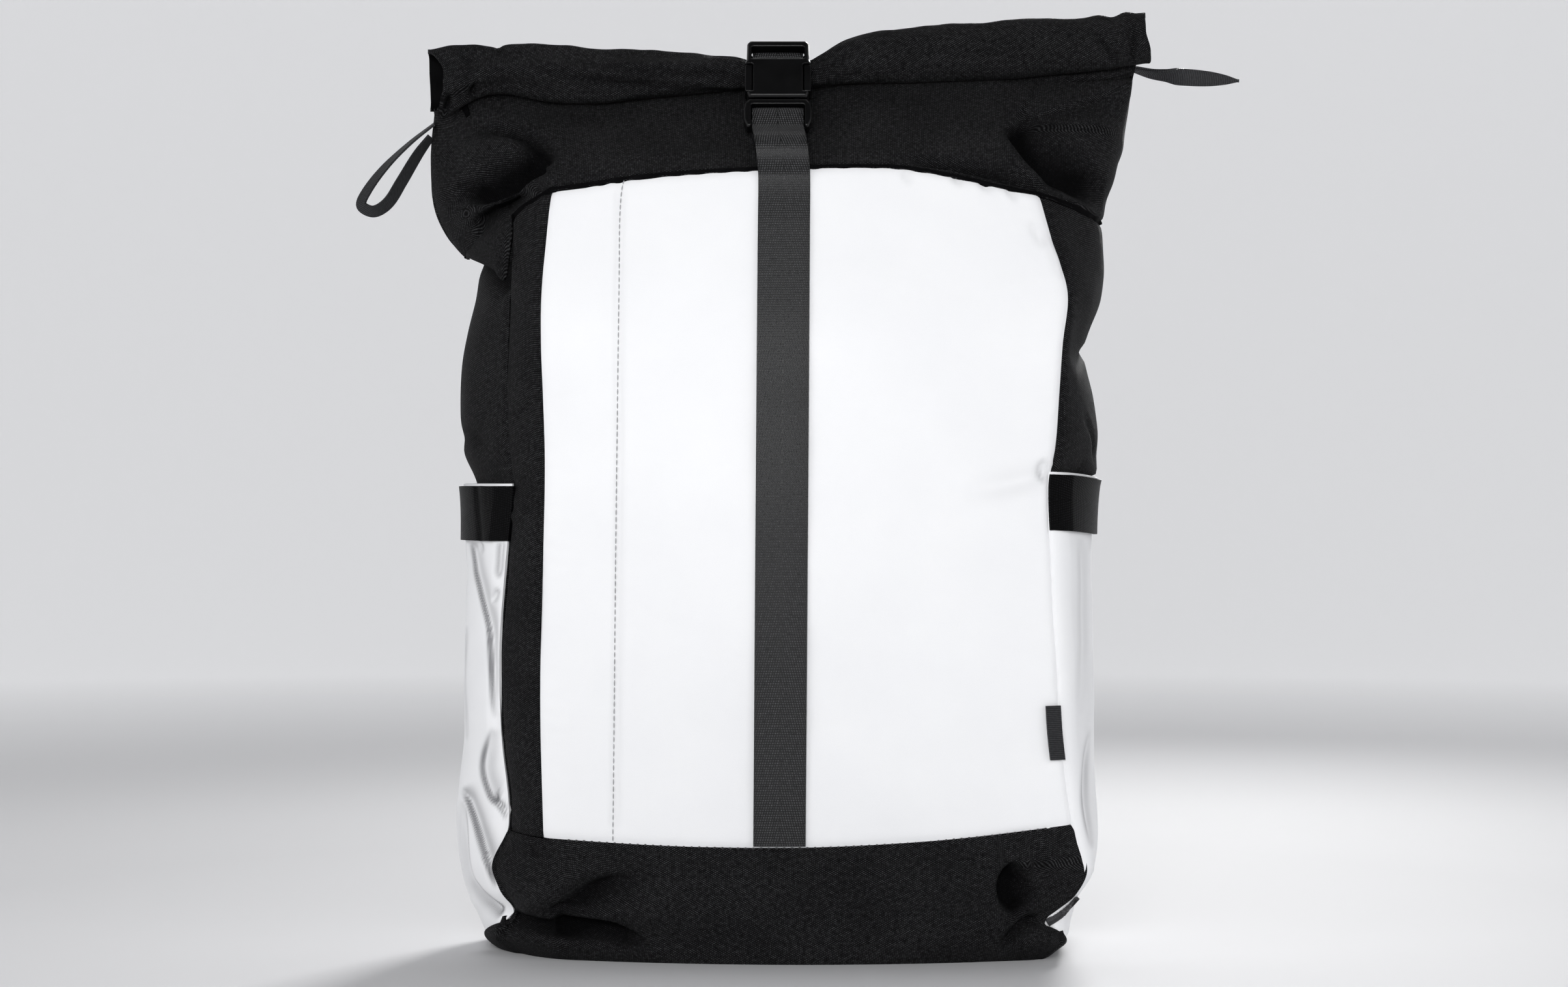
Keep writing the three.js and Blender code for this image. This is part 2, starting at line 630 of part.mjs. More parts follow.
addPiece("collar_back", sheet(collarFace, collarBackGrid, collarRise, CLOTH, collarOut), cloth);

// Roll: the doubled collar wound forwards one and a half turns
function rollFace(u, v) {
  const x = -u;
  const row = blend(ROLL_ROWS, "x", x);
  const degrees = THREE.MathUtils.lerp(ROLL_FROM, ROLL_TO, v);
  const angle = THREE.MathUtils.degToRad(degrees);
  const { size } = blend(ROLL_SIZE_ROWS, "degrees", degrees);
  const middle = (row.bottom + row.top) / 2;
  const halfHeight = (row.top - row.bottom) / 2;
  const y = ROLL_DEPTH_CENTRE + row.half * size * Math.sin(angle);
  return new THREE.Vector3(x, y, middle - halfHeight * size * Math.cos(angle));
}

const rollGrid = ROLL_ROWS.map((row) => -row.x).reverse();
addPiece("rolled_top", sheet(rollFace, rollGrid, steps(0, 1, ROLL_STEPS), ROLLED_CLOTH), cloth);

// Side pockets and their bands: layers lifted off the gussets, fullest in the middle
function lifted(grid, levels, lift, thickness) {
  const face = (at, row) => {
    const z = levelHeight(levels, at, row);
    const across = Math.sin(Math.PI * (at - Math.floor(at)));
    const height = lift + blend(POCKET_FULLNESS, "z", z).bulge * across ** 0.8;
    return body(at, z).addScaledVector(levelOut(at, z), height);
  };
  return sheet(face, grid, levels.map((_, i) => i), thickness);
}

for (const row of POCKET_ROWS) {
  const grid = row.side === "left" ? leftGrid : rightGrid;
  const corner = row.side === "left" ? STRIP : RIGHT;
  const pocketLift = LAYER_GAP + CLOTH;
  const bandLift = pocketLift + LAYER_GAP + WEBBING;
  const below = gussetLevels(corner).filter((level) => level >= row.foot && level < row.mouth - 3);
  const underBand = PANEL_LEVELS.filter((level) => level > row.bandFrom && level < row.bandTo);
  const pocket = lifted(grid, [...below, row.mouth], pocketLift, CLOTH);
  const band = lifted(grid, [row.bandFrom, ...underBand, row.bandTo], bandLift, WEBBING);
  addPiece("pocket_" + row.side, pocket, reflective);
  addPiece("pocket_band_" + row.side, band, webbing);
}

// Bare tab, lying on the front panel beside the right seam
function tabFace(u, v) {
  const z = THREE.MathUtils.lerp(TAB_FROM, TAB_TO, v);
  const at = RIGHT - (TAB_WIDTH * (1 - u) + 1) / FRONT_LENGTH;
  return body(at, z).addScaledVector(levelOut(at, z), LAYER_GAP + RIBBON);
}
addPiece("seam_tab", sheet(tabFace, steps(0, 1, 2), steps(0, 1, 3), RIBBON), ribbon);

// A point given in the buckle's own depth and length, in the bag's frame
function fromBuckle(row) {
  const cos = Math.cos(BUCKLE_LEAN);
  const sin = Math.sin(BUCKLE_LEAN);
  const y = BUCKLE_DEPTH + row.deep * cos + row.long * sin;
  const z = BUCKLE_HEIGHT - row.deep * sin + row.long * cos;
  return new THREE.Vector3(BUCKLE_ACROSS, y, z);
}

// Flat webbing of full width that follows a path in the upright middle plane.
function middleWebbing(points, count) {
  const curve = new THREE.CatmullRomCurve3(points, false, "centripetal");
  const face = (u, v) => {
    const t = THREE.MathUtils.clamp(v, 0, 1);
    const along = curve.getTangent(t);
    const side = new THREE.Vector3(0, -along.z, along.y).normalize();
    const point = curve.getPoint(t).addScaledVector(along, (v - t) * STRAIGHT_ON);
    return point.addScaledVector(side, WEBBING / 2).add(new THREE.Vector3((u - 0.5) * WEBBING_WIDTH, 0, 0));
  };
  return sheet(face, [0, 1], steps(0, 1, count), WEBBING);
}

const webbingOff = LAYER_GAP + WEBBING / 2;
const sewn = steps(CENTRE_STRAP.sewnFrom, CENTRE_STRAP.sewnTo, 14).map((z) => {
  const point = frontAt(0, z);
  const lean = CENTRE_STRAP.lean * THREE.MathUtils.inverseLerp(CENTRE_STRAP.sewnFrom, CENTRE_STRAP.sewnTo, z);
  return new THREE.Vector3(lean, point.y - webbingOff, z);
});
const free = FREE_WEBBING_ROWS.map((row) => new THREE.Vector3(row.x, row.y, row.z));
const lowerPath = [...sewn, ...free, ...LOWER_WEBBING_ROWS.map(fromBuckle)];
addPiece("centre_strap", middleWebbing(lowerPath, 56), webbing);

const overCollar = steps(0.82, 0.06, 5).map((v) => {
  const point = collarFace(BACK_MIDDLE, v);
  const out = outward(collarFace, BACK_MIDDLE, v);
  return point.addScaledVector(out, webbingOff + COLLAR_SLACK).setX(BUCKLE_ACROSS);
});
const downBack = DOWN_BACK_ROWS.map(({ z }) => {
  const point = backAt(0, z);
  return new THREE.Vector3(BUCKLE_ACROSS, point.y + webbingOff, z);
});
const overRoll = OVER_ROLL_ROWS.map((row) => new THREE.Vector3(BUCKLE_ACROSS, row.y, row.z));
const upperPath = [...UPPER_WEBBING_ROWS.map(fromBuckle), ...overRoll, ...overCollar, ...downBack];
addPiece("upper_strap", middleWebbing(upperPath, 64), webbing);

// Solids for joining and cutting
function solid(geometry) {
  const bare = new THREE.BufferGeometry().setAttribute("position", geometry.getAttribute("position"));
  bare.setIndex(geometry.index);
  const merged = mergeVertices(bare, 1e-4);
  const mesh = new wasm.Mesh({
    numProp: 3,
    vertProperties: merged.attributes.position.array,
    triVerts: new Uint32Array(merged.index.array),
  });
  return new wasm.Manifold(mesh);
}

function geometryOf(made) {
  const mesh = made.getMesh();
  const geometry = new THREE.BufferGeometry();
  geometry.setAttribute("position", new THREE.BufferAttribute(mesh.vertProperties, mesh.numProp));
  geometry.setIndex(new THREE.BufferAttribute(mesh.triVerts, 1));
  geometry.computeVertexNormals();
  return geometry;
}

// A box between two corners, in the buckle's width, depth and length
function block(x0, x1, y0, y1, z0, z1) {
  const box = new THREE.BoxGeometry(x1 - x0, y1 - y0, z1 - z0);
  box.translate((x0 + x1) / 2, (y0 + y1) / 2, (z0 + z1) / 2);
  return solid(box);
}

// A bar across the slot of the buckle, let into both sides
function crossBar(bar) {
  return block(-SLOT_HALF - 1, SLOT_HALF + 1, bar.front, bar.back, bar.from, bar.to);
}

// A flat plate with bevelled edges from half an outline, given from its top to its bottom at the right
function plate(halfOutline, thick, bevel) {
  const right = halfOutline.map(([x, z]) => new THREE.Vector2(x, z));
  const left = halfOutline.map(([x, z]) => new THREE.Vector2(-x, z)).reverse();
  const shape = new THREE.Shape([...right, ...left].reverse());
  const geometry = new THREE.ExtrudeGeometry(shape, {
    depth: thick - 2 * bevel,
    bevelThickness: bevel,
    bevelSize: bevel,
    bevelOffset: -bevel,
    bevelSegments: 1,
    steps: 1,
  });
  geometry.translate(0, 0, bevel - thick / 2);
  geometry.rotateX(Math.PI / 2);
  return solid(geometry);
}

// Buckle socket: a frame for the upper webbing above a hollow plate with a window at each side
const socketOutline = [
  [SOCKET.half - 1.6, SOCKET.top],
  [SOCKET.half - 0.2, SOCKET.top - 1.8],
  [SOCKET.half, SOCKET.gapFrom],
  [SOCKET.half + 0.9, WINDOW.to + 1],
  [SOCKET.half + 0.9, -3],
  [SOCKET.half - 0.2, WINDOW.from - 1],
  [SOCKET.half - 1.2, SOCKET.bottom],
];
let socket = plate(socketOutline, SOCKET.thick, SOCKET.bevel);
const webbingGap = block(-SLOT_HALF, SLOT_HALF, -CUT_THROUGH, CUT_THROUGH, SOCKET.gapFrom, SOCKET.barFrom);
const topBar = [SOCKET.barFrom - 1, SOCKET.top + 1];
const behindBar = block(-SLOT_HALF, SLOT_HALF, SOCKET_TOP_BAR_BACK, CUT_THROUGH, ...topBar);
const plugWayFrom = SOCKET.bottom - 1;
const plugWay = block(-CAVITY.half, CAVITY.half, -CAVITY.halfDeep, CAVITY.halfDeep, plugWayFrom, WINDOW.to);
socket = socket.subtract(webbingGap).subtract(behindBar).subtract(plugWay);
for (const hand of [-1, 1]) {
  const [x0, x1] = [hand * WINDOW.inner, hand * BUCKLE_REACH].sort((a, b) => a - b);
  const [i0, i1] = [hand * (CAVITY.half - 1), hand * (WINDOW.inner + 1)].sort((a, b) => a - b);
  socket = socket.subtract(block(x0, x1, -CUT_THROUGH, CUT_THROUGH, WINDOW.from, WINDOW.to));
  socket = socket.subtract(block(i0, i1, -CAVITY.halfDeep, CAVITY.halfDeep, WINDOW.from, WINDOW.to));
}
socket = socket.add(crossBar(SOCKET_BAR));

// Buckle plug: a frame for the lower webbing with two prongs that show in the windows
const plugOutline = [
  [PLUG.half - 2.6, PLUG.top],
  [PLUG.half - 0.6, PLUG.top - 2.6],
  [PLUG.half, PLUG.top - 7],
  [PLUG.half - 0.2, PLUG.bottom + 4],
  [PLUG.half - 1.8, PLUG.bottom],
];
let plug = plate(plugOutline, PLUG.thick, PLUG.bevel);
const recess = [PLUG.bottom - 1, PLUG.gapTo - 1];
plug = plug.subtract(block(-SLOT_HALF, SLOT_HALF, -CUT_THROUGH, CUT_THROUGH, PLUG.gapFrom, PLUG.gapTo));
plug = plug.subtract(block(-SLOT_HALF, SLOT_HALF, -CUT_THROUGH, PLUG_BAR.front, ...recess));
plug = plug.subtract(block(-SLOT_HALF, SLOT_HALF, PLUG_BAR.back, CUT_THROUGH, ...recess));
plug = plug.add(crossBar(PLUG_BAR));
for (const hand of [-1, 1]) {
  const [a0, a1] = [hand * PRONG.arm, hand * (CAVITY.half - PRONG.clearance)].sort((a, b) => a - b);
  const [n0, n1] = [hand * (CAVITY.half - 2), hand * (WINDOW.inner + 1)].sort((a, b) => a - b);
  const [h0, h1] = [hand * (WINDOW.inner + PRONG.clearance), hand * PRONG.head].sort((a, b) => a - b);
  const low = WINDOW.from + PRONG.clearance;
  const high = WINDOW.to - PRONG.clearance;
  const arm = block(a0, a1, -PRONG.halfDeep, PRONG.halfDeep, PLUG.top - 1, high);
  const neck = block(n0, n1, -PRONG.halfDeep, PRONG.halfDeep, low, high);
  const head = block(h0, h1, -PRONG.headHalfDeep, PRONG.headHalfDeep, low, high);
  plug = plug.add(arm).add(neck).add(head);
}

const toBag = new THREE.Matrix4().makeRotationX(-BUCKLE_LEAN);
toBag.setPosition(BUCKLE_ACROSS, BUCKLE_DEPTH, BUCKLE_HEIGHT);
addPiece("buckle_socket", geometryOf(socket).applyMatrix4(toBag), plastic);
addPiece("buckle_plug", geometryOf(plug).applyMatrix4(toBag), plastic);

// The direction across a ribbon that is turned about its own path, from depth towards the view
function ribbonAcross(along, turn) {
  const inView = new THREE.Vector3(along.z, 0, -along.x).normalize();
  const angle = THREE.MathUtils.degToRad(turn);
  return new THREE.Vector3(0, Math.cos(angle), 0).addScaledVector(inView, Math.sin(angle));
}

// A smooth path through a ribbon's rows, with its direction and turn at any place along it
function ribbonPath(rows) {
  const curve = new THREE.CatmullRomCurve3(rows.map((row) => new THREE.Vector3(row.x, 0, row.z)));
  const turns = rows.map((row, i) => ({ place: i / (rows.length - 1), turn: row.turn }));
  return (t) => {
    const place = THREE.MathUtils.clamp(t, 0, 1);
    const along = curve.getTangent(place);
    const point = curve.getPoint(place).addScaledVector(along, (t - place) * STRAIGHT_ON);
    return { point, along, turn: blend(turns, "place", place).turn };
  };
}

const leftLoop = ribbonPath(LEFT_LOOP_ROWS);
const leftLoopFace = (u, v) => {
  const { point, along, turn } = leftLoop(v);
  return point.addScaledVector(ribbonAcross(along, turn), (u - 0.5) * RIBBON_WIDTH);
};
addPiece("ribbon_loop_left", sheet(leftLoopFace, [0, 1], steps(0, 1, 30), RIBBON), ribbon);

// The right loop runs out on one side of its path, turns at the tip and comes back on the other side.
const rightLoop = ribbonPath(RIGHT_LOOP_ROWS);
const TIP_SHARE = 0.1;
const rightLoopFace = (u, v) => {
  const fromTip = (v - 0.5) * 2;
  const turning = Math.abs(fromTip) < TIP_SHARE;
  const angle = THREE.MathUtils.clamp(fromTip / TIP_SHARE, -1, 1) * (Math.PI / 2);
  const place = 1 - Math.max(Math.abs(fromTip) - TIP_SHARE, 0) / (1 - TIP_SHARE);
  const { point, along, turn } = rightLoop(place);
  const across = ribbonAcross(along, turn);
  const side = across.clone().cross(along).normalize();
  point.addScaledVector(along, turning ? RIGHT_LOOP_HALF_GAP * Math.cos(angle) : 0);
  point.addScaledVector(side, RIGHT_LOOP_HALF_GAP * Math.sin(angle));
  return point.addScaledVector(across, (0.5 - u) * RIBBON_WIDTH);
};
const tipFrom = (1 - TIP_SHARE) / 2;
const rightLoopPlaces = [
  ...steps(0, tipFrom, 9),
  ...steps(tipFrom, 1 - tipFrom, 6).slice(1),
  ...steps(1 - tipFrom, 1, 9).slice(1),
];
addPiece("ribbon_loop_right", sheet(rightLoopFace, [0, 1], rightLoopPlaces, RIBBON), ribbon);

// Shoulder straps: a pad and its lower webbing, mirrored about the middle
function strapFace(rows, hand) {
  const points = rows.map((row) => backAt(hand * row.x, row.z).add(new THREE.Vector3(0, row.off, 0)));
  const curve = new THREE.CatmullRomCurve3(points, false, "centripetal");
  const widths = rows.map((row, i) => ({ place: i / (rows.length - 1), width: row.width }));
  return (u, v) => {
    const t = THREE.MathUtils.clamp(v, 0, 1);
    const along = curve.getTangent(t);
    const point = curve.getPoint(t).addScaledVector(along, (v - t) * STRAIGHT_ON);
    const { width } = blend(widths, "place", t);
    return point.add(new THREE.Vector3((u - 0.5) * width, 0, 0));
  };
}

for (const [side, hand] of [["left", -1], ["right", 1]]) {
  const padFace = strapFace(PAD_ROWS, hand);
  const lowerFace = strapFace(LOWER_STRAP_ROWS, hand);
  addPiece("shoulder_strap_" + side, sheet(padFace, steps(0, 1, 3), steps(0, 1, 20), STRAP_PAD), cloth);
  addPiece("strap_webbing_" + side, sheet(lowerFace, [0, 1], steps(0, 1, 10), WEBBING), webbing);
}

export default backpack;
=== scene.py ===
import math

import bpy
import numpy as np
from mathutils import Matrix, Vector, noise
from mathutils.bvhtree import BVHTree


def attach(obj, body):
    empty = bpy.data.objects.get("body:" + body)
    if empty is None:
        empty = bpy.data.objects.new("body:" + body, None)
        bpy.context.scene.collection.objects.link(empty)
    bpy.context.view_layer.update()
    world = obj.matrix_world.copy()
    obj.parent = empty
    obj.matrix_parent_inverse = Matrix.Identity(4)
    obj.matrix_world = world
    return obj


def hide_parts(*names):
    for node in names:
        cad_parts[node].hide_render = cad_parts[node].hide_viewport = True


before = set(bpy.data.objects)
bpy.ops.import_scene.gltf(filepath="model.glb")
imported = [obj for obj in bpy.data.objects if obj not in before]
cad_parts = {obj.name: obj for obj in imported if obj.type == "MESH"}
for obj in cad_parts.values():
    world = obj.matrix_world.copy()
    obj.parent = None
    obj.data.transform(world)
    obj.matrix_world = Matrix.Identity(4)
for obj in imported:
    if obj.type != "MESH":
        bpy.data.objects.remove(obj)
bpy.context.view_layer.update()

# Lengths are in millimetres until a mesh is made.
MM = 0.001

# Thicknesses, widths and gaps
CLOTH = 1.5
BOOT_CLOTH = 2.0
ROLLED_CLOTH = 1.8
BACK_PAD = 6.0
WEBBING = 1.4
WEBBING_WIDTH = 25.0
RIBBON = 1.0
RIBBON_WIDTH = 6.3
LAYER_GAP = 0.6
SEAM_INSET = 0.12
STRIP_DEPTH = 20.0
STRIP_BOW = 2.0
BACK_BOW = 3.0
CORNER_ROUND = np.array([3.0, 7.0, 14.0, 14.0, 6.0])
SIDES = 5

# Places round the bag, counted in corners from the left front seam, and the rough length of each side
STRIP, FRONT, RIGHT, BACK, LEFT = 4, 5, 6, 7, 8
STRIP_LENGTH, FRONT_LENGTH, GUSSET_LENGTH, BACK_LENGTH = 27, 250, 120, 288
# Height of the sides' lower edge above the boot's base
BASE_CLEARANCE = 2.7
# A small step for directions along a surface
SMALL = 1e-3


def table(columns, rows):
    """A short table as one array per named column."""
    return {name: np.array(column, float) for name, column in zip(columns.split(), zip(*rows))}


FRONT_ROWS = table("z strip_left seam_left seam_right front crown", [
    (0, -127, -104, 127, -42, 17),
    (3, -130, -106, 131, -45, 15),
    (9, -135, -109, 137, -50, 11),
    (22, -132, -111, 134, -55, 8),
    (34, -135.8, -112.5, 143.4, -57.8, 7),
    (46, -138.8, -114, 148.4, -60, 6),
    (66, -131, -114, 143.5, -62, 6),
    (110, -135, -115, 137, -63, 7),
    (150, -136, -115, 135, -64, 8),
    (190, -133, -114, 133, -65, 8),
    (230, -129, -113, 131, -65, 8),
    (250, -131, -113, 134, -64, 8),
    (274, -132, -114, 136, -63, 8),
    (298, -132, -115, 138, -62, 8),
    (324, -132, -115, 140, -59, 7),
    (350, -131, -113, 132, -54, 7),
    (386, -129, -110, 122, -47, 7),
])
SIDE_ROWS = table("z left right back_half back", [
    (0, -143, 139, 140, 46),
    (3, -146, 141, 141, 47),
    (9, -147, 143, 142, 49),
    (22, -147, 144, 143, 51),
    (46, -150, 148, 143, 52),
    (66, -151, 148, 144, 52),
    (110, -148, 147, 144, 53),
    (150, -148, 146, 144, 53),
    (190, -148, 146, 144, 53),
    (230, -151, 150, 144, 53),
    (250, -159, 158, 144, 53),
    (274, -160, 156, 144, 53),
    (298, -158, 151, 144, 52),
    (324, -152, 160, 144, 51),
    (350, -150, 161, 143, 48),
    (386, -148, 156, 142, 43),
])
BOOT_SEAM_ROWS = table("x z", [
    (-132, 63), (-113, 61), (-50, 57.6), (0, 56.8), (50, 58.6), (95, 62), (146, 68),
])
BOOT_SEAM_LEVEL = 60.0
COLLAR_SEAM_ROWS = table("at z", [
    (3.5, 344), (4, 361), (5, 374), (5.2, 380), (5.46, 383.5), (5.7, 384.5), (5.8, 381.5),
    (6, 371.5), (6.5, 361), (7, 370), (7.5, 374), (8, 370), (8.5, 344),
])
COLLAR_TOP_ROWS = table("at x bulge high", [
    (3.5, -173, 13.6, 0.5),
    (4, -161, 9, 0.4),
    (5, -138, 5, 0.1),
    (5.46, 0, 1, 0),
    (6, 157, 4, 0.1),
    (6.5, 178, 3, 0.5),
    (7, 159, 5, 0.3),
    (7.5, 0, 7, 0.2),
    (8, -157, 7, 0.3),
    (8.5, -173, 13.6, 0.5),
])
# The collar's front laps over the cloth below it, with a flap at the left side
FLAP_ROWS = table("at drop", [
    (3.5, 0.3), (3.6, 3.5), (3.72, 10.5), (3.9, 22), (3.985, 28), (4.02, 2), (4.1, 0.8), (6, 0.8), (6.5, 0.3),
])
FLAP_LIFT = 2.0
# How far the collar's lower edge stands off the side below it
STAND_ROWS = table("at out", [
    (3.5, 7), (3.62, 6), (3.8, 3.5), (3.95, 1), (4.05, 0), (6.5, 0), (8, 0), (8.2, 2.5), (8.4, 6), (8.5, 7),
])
COLLAR_HALF_GAP = 2.4
COLLAR_ENDS = (3.5, 6.5, 8.5)
COLLAR_END_SHARE = 0.125
COLLAR_TUCK = 0.22
COLLAR_SET_BACK = 0.82
ROLL_ROWS = table("x bottom top half", [
    (-174, 412, 448, 10),
    (-168, 413, 449.5, 10.5),
    (-160, 418, 450.2, 11),
    (-152, 422.5, 450, 11),
    (-143, 425, 448.2, 11),
    (-134, 425, 449.2, 11),
    (-118, 422, 448.8, 11),
    (-96, 420, 448, 11),
    (-76, 421.5, 447, 11),
    (-34, 426, 444.5, 10),
    (-15, 428, 442, 9),
    (15, 428.5, 442, 9),
    (34, 430, 453, 10),
    (66, 430.5, 459, 11),
    (112, 432.5, 462, 11),
    (160, 437, 465, 11),
    (182, 440.5, 466.5, 11),
])
ROLL_CENTRE = -3.0
ROLL_SIZE_ROWS = table("degrees size", [
    (46, 1), (240, 1), (350, 0.985), (400, 0.8), (450, 0.68), (600, 0.56),
])
# Where each turn of the roll ends: the front turn stops short at the left, so that a slot shows
ROLL_END_ROWS = table("degrees left right", [
    (46, -175, 182), (200, -175, 182), (222, -171.5, 181.5), (250, -167.2, 181.5), (267, -166.6, 181.7),
    (303, -166.8, 184), (362, -167.5, 183.5), (380, -160, 176), (600, -160, 176),
])

# Broad dents and ridges of the body: centre, reach along and across, lean in degrees, depth
DENT_ROWS = table("x y z along across lean depth", [
    (-98, -54, 18, 40, 6, -8, 7),
    (-100, -60, 35, 15, 7, 25, 4),
    (120, -60, 38, 15, 12, 0, 5),
    (122, -50, 19, 18, 6, 35, 4.5),
    (-126, -40, 386, 17, 13, 35, 9),
    (-140, -28, 368, 26, 8, 35, -4),
    (138, -24, 393, 28, 7, -40, 7),
    (150, -14, 410, 26, 7, -30, -3),
])
DENT_DEPTH_REACH = 45.0


def blend(rows, key, at):
    """Every column of a table at the given values of its key, as smooth curves through the rows."""
    at = np.asarray(at, float)
    keys = rows[key]
    last = len(keys) - 1
    a = np.clip(np.searchsorted(keys, at) - 1, 0, last - 1)
    b = a + 1
    before = np.maximum(a - 1, 0)
    after = np.minimum(a + 2, last)
    span = keys[b] - keys[a]
    t = np.clip((at - keys[a]) / span, 0, 1)
    out = {}
    for name, column in rows.items():
        rise = column[b] - column[a]
        bend_a = (column[b] - column[before]) / (keys[b] - keys[before]) * span - rise
        bend_b = rise - (column[after] - column[a]) / (keys[after] - keys[a]) * span
        out[name] = column[a] + rise * t + t * (1 - t) * (bend_a * (1 - t) + bend_b * t)
    return out


def unit(vectors):
    """Vectors scaled to length 1."""
    return vectors / np.maximum(np.linalg.norm(vectors, axis=-1, keepdims=True), 1e-12)


def outline(at, z):
    """Points of the body's outline at the given places and heights, as x and y."""
    at, z = np.broadcast_arrays(np.asarray(at, float), np.asarray(z, float))
    shape = at.shape
    at, z = at.ravel(), z.ravel()
    row = {**blend(FRONT_ROWS, "z", z), **blend(SIDE_ROWS, "z", z)}
    corners = np.stack([
        np.stack([row["seam_left"], row["front"]], 1),
        np.stack([row["seam_right"], row["front"]], 1),
        np.stack([row["back_half"], row["back"]], 1),
        np.stack([-row["back_half"], row["back"]], 1),
        np.stack([row["strip_left"], row["front"] + STRIP_DEPTH], 1),
    ])
    bows = np.stack([
        row["crown"],
        row["right"] - (row["seam_right"] + row["back_half"]) / 2,
        np.full_like(z, BACK_BOW),
        -row["left"] + (row["strip_left"] - row["back_half"]) / 2,
        np.full_like(z, STRIP_BOW),
    ])
    pick = np.arange(at.size)

    def bowed(side, t):
        start = corners[side, pick]
        along = corners[(side + 1) % SIDES, pick] - start
        out = unit(np.stack([along[:, 1], -along[:, 0]], 1))
        return start + along * t[:, None] + out * (bows[side, pick] * 4 * t * (1 - t))[:, None]

    def length(side):
        return np.linalg.norm(corners[(side + 1) % SIDES, pick] - corners[side, pick], axis=1)

    def rounded(start, corner, end, q):
        q = np.clip(q, 0, 1)[:, None]
        return (start * (1 - q) + corner * q) * (1 - q) + (corner * (1 - q) + end * q) * q

    turn = at % SIDES
    side = np.floor(turn).astype(int) % SIDES
    t = turn - np.floor(turn)
    following = (side + 1) % SIDES
    before = (side - 1) % SIDES
    start_cut = CORNER_ROUND[side] / length(side)
    end_cut = 1 - CORNER_ROUND[following] / length(side)
    flat = bowed(side, t)
    into = bowed(before, 1 - CORNER_ROUND[side] / length(before))
    first = rounded(into, corners[side, pick], bowed(side, start_cut), 0.5 + 0.5 * t / start_cut)
    beyond = bowed(following, CORNER_ROUND[following] / length(following))
    ending = 0.5 * (t - end_cut) / (1 - end_cut)
    second = rounded(bowed(side, end_cut), corners[following, pick], beyond, ending)
    flat = np.where((t < start_cut)[:, None], first, np.where((t > end_cut)[:, None], second, flat))
    return flat.reshape(*shape, 2)


def level_out(at, z):
    """The level outward direction of the body."""
    along = outline(np.asarray(at) + SMALL, z) - outline(np.asarray(at) - SMALL, z)
    out = np.stack([along[..., 1], -along[..., 0], np.zeros(along.shape[:-1])], -1)
    return unit(out)


def dent_depth(points):
    """The depth of all broad dents together, with ridges counted as negative."""
    depth = np.zeros(points.shape[:-1])
    for i, lean in enumerate(np.radians(DENT_ROWS["lean"])):
        dent = {name: column[i] for name, column in DENT_ROWS.items()}
        dx = points[..., 0] - dent["x"]
        dz = points[..., 2] - dent["z"]
        along = (dx * math.cos(lean) + dz * math.sin(lean)) / dent["along"]
        across = (dz * math.cos(lean) - dx * math.sin(lean)) / dent["across"]
        deep = (points[..., 1] - dent["y"]) / DENT_DEPTH_REACH
        depth += dent["depth"] * np.exp(-(along**2 + across**2 + deep**2))
    return depth


def body(at, z):
    """The outer surface of the body."""
    flat = outline(at, z)
    points = np.concatenate([flat, np.broadcast_to(z, flat.shape[:-1])[..., None]], -1)
    return points - level_out(at, z) * dent_depth(points)[..., None]


def off_body(at, z, height):
    """Points at a height off the body."""
    return body(at, z) + level_out(at, z) * height[..., None]


def boot_seam(at):
    return blend(BOOT_SEAM_ROWS, "x", outline(at, BOOT_SEAM_LEVEL)[..., 0])["z"]


def collar_place(at):
    """A place round the bag brought into the collar's range."""
    at = np.asarray(at, float)
    return np.where(at < COLLAR_ENDS[0], at + SIDES, np.where(at > COLLAR_ENDS[2], at - SIDES, at))


def collar_seam(at):
    return blend(COLLAR_SEAM_ROWS, "at", collar_place(at))["z"]


def collar_stand(at):
    return np.maximum(blend(STAND_ROWS, "at", at)["out"], 0)


def front_at(x, z):
    """The body's surface across the front."""
    row = blend(FRONT_ROWS, "z", z)
    return body(FRONT + (x - row["seam_left"]) / (row["seam_right"] - row["seam_left"]), z)


def back_at(x, z):
    """The body's surface across the back."""
    half = blend(SIDE_ROWS, "z", z)["back_half"]
    return body(BACK + (half - x) / (2 * half), z)


def collar_face(at, v):
    """The collar, from the seam round the body up to a flat slot behind the roll."""
    at, v = np.broadcast_arrays(collar_place(at), np.asarray(v, float))
    seam = collar_seam(at)
    low = np.concatenate([outline(at, seam), seam[..., None]], -1)
    row = blend(COLLAR_TOP_ROWS, "at", at)
    from_end = np.min([np.abs(at - end) for end in COLLAR_ENDS], axis=0)
    closing = np.clip(1 - from_end / COLLAR_END_SHARE, 0, 1)
    half = COLLAR_HALF_GAP * np.sqrt(1 - closing**2)
    roll = blend(ROLL_ROWS, "x", row["x"])
    height = roll["bottom"] + (roll["top"] - roll["bottom"]) * COLLAR_TUCK - LAYER_GAP
    depth = ROLL_CENTRE + roll["half"] * COLLAR_SET_BACK
    depth = depth + np.where(at < COLLAR_ENDS[1], -half, half)
    high = np.stack([row["x"], depth, height], -1)
    points = low * (1 - v)[..., None] + high * v[..., None]
    out = level_out(at, seam)
    # Two curves with a peak of 1, one low on the collar and one half way up
    fullness = v * (1 - v) * (6.75 * (1 - v) * (1 - row["high"]) + 4 * row["high"])
    points = points + out * (row["bulge"] * fullness + collar_stand(at) * (1 - v) ** 3)[..., None]
    return points - out * (dent_depth(points) * (1 - v**4))[..., None]


def grid(us, vs):
    """Every pair of two lists of values, as a row for each v and a column for each u."""
    return np.meshgrid(us, vs)


def normals(points):
    """Outward directions of a grid of points."""
    return unit(np.cross(np.gradient(points, axis=1), np.gradient(points, axis=0)))


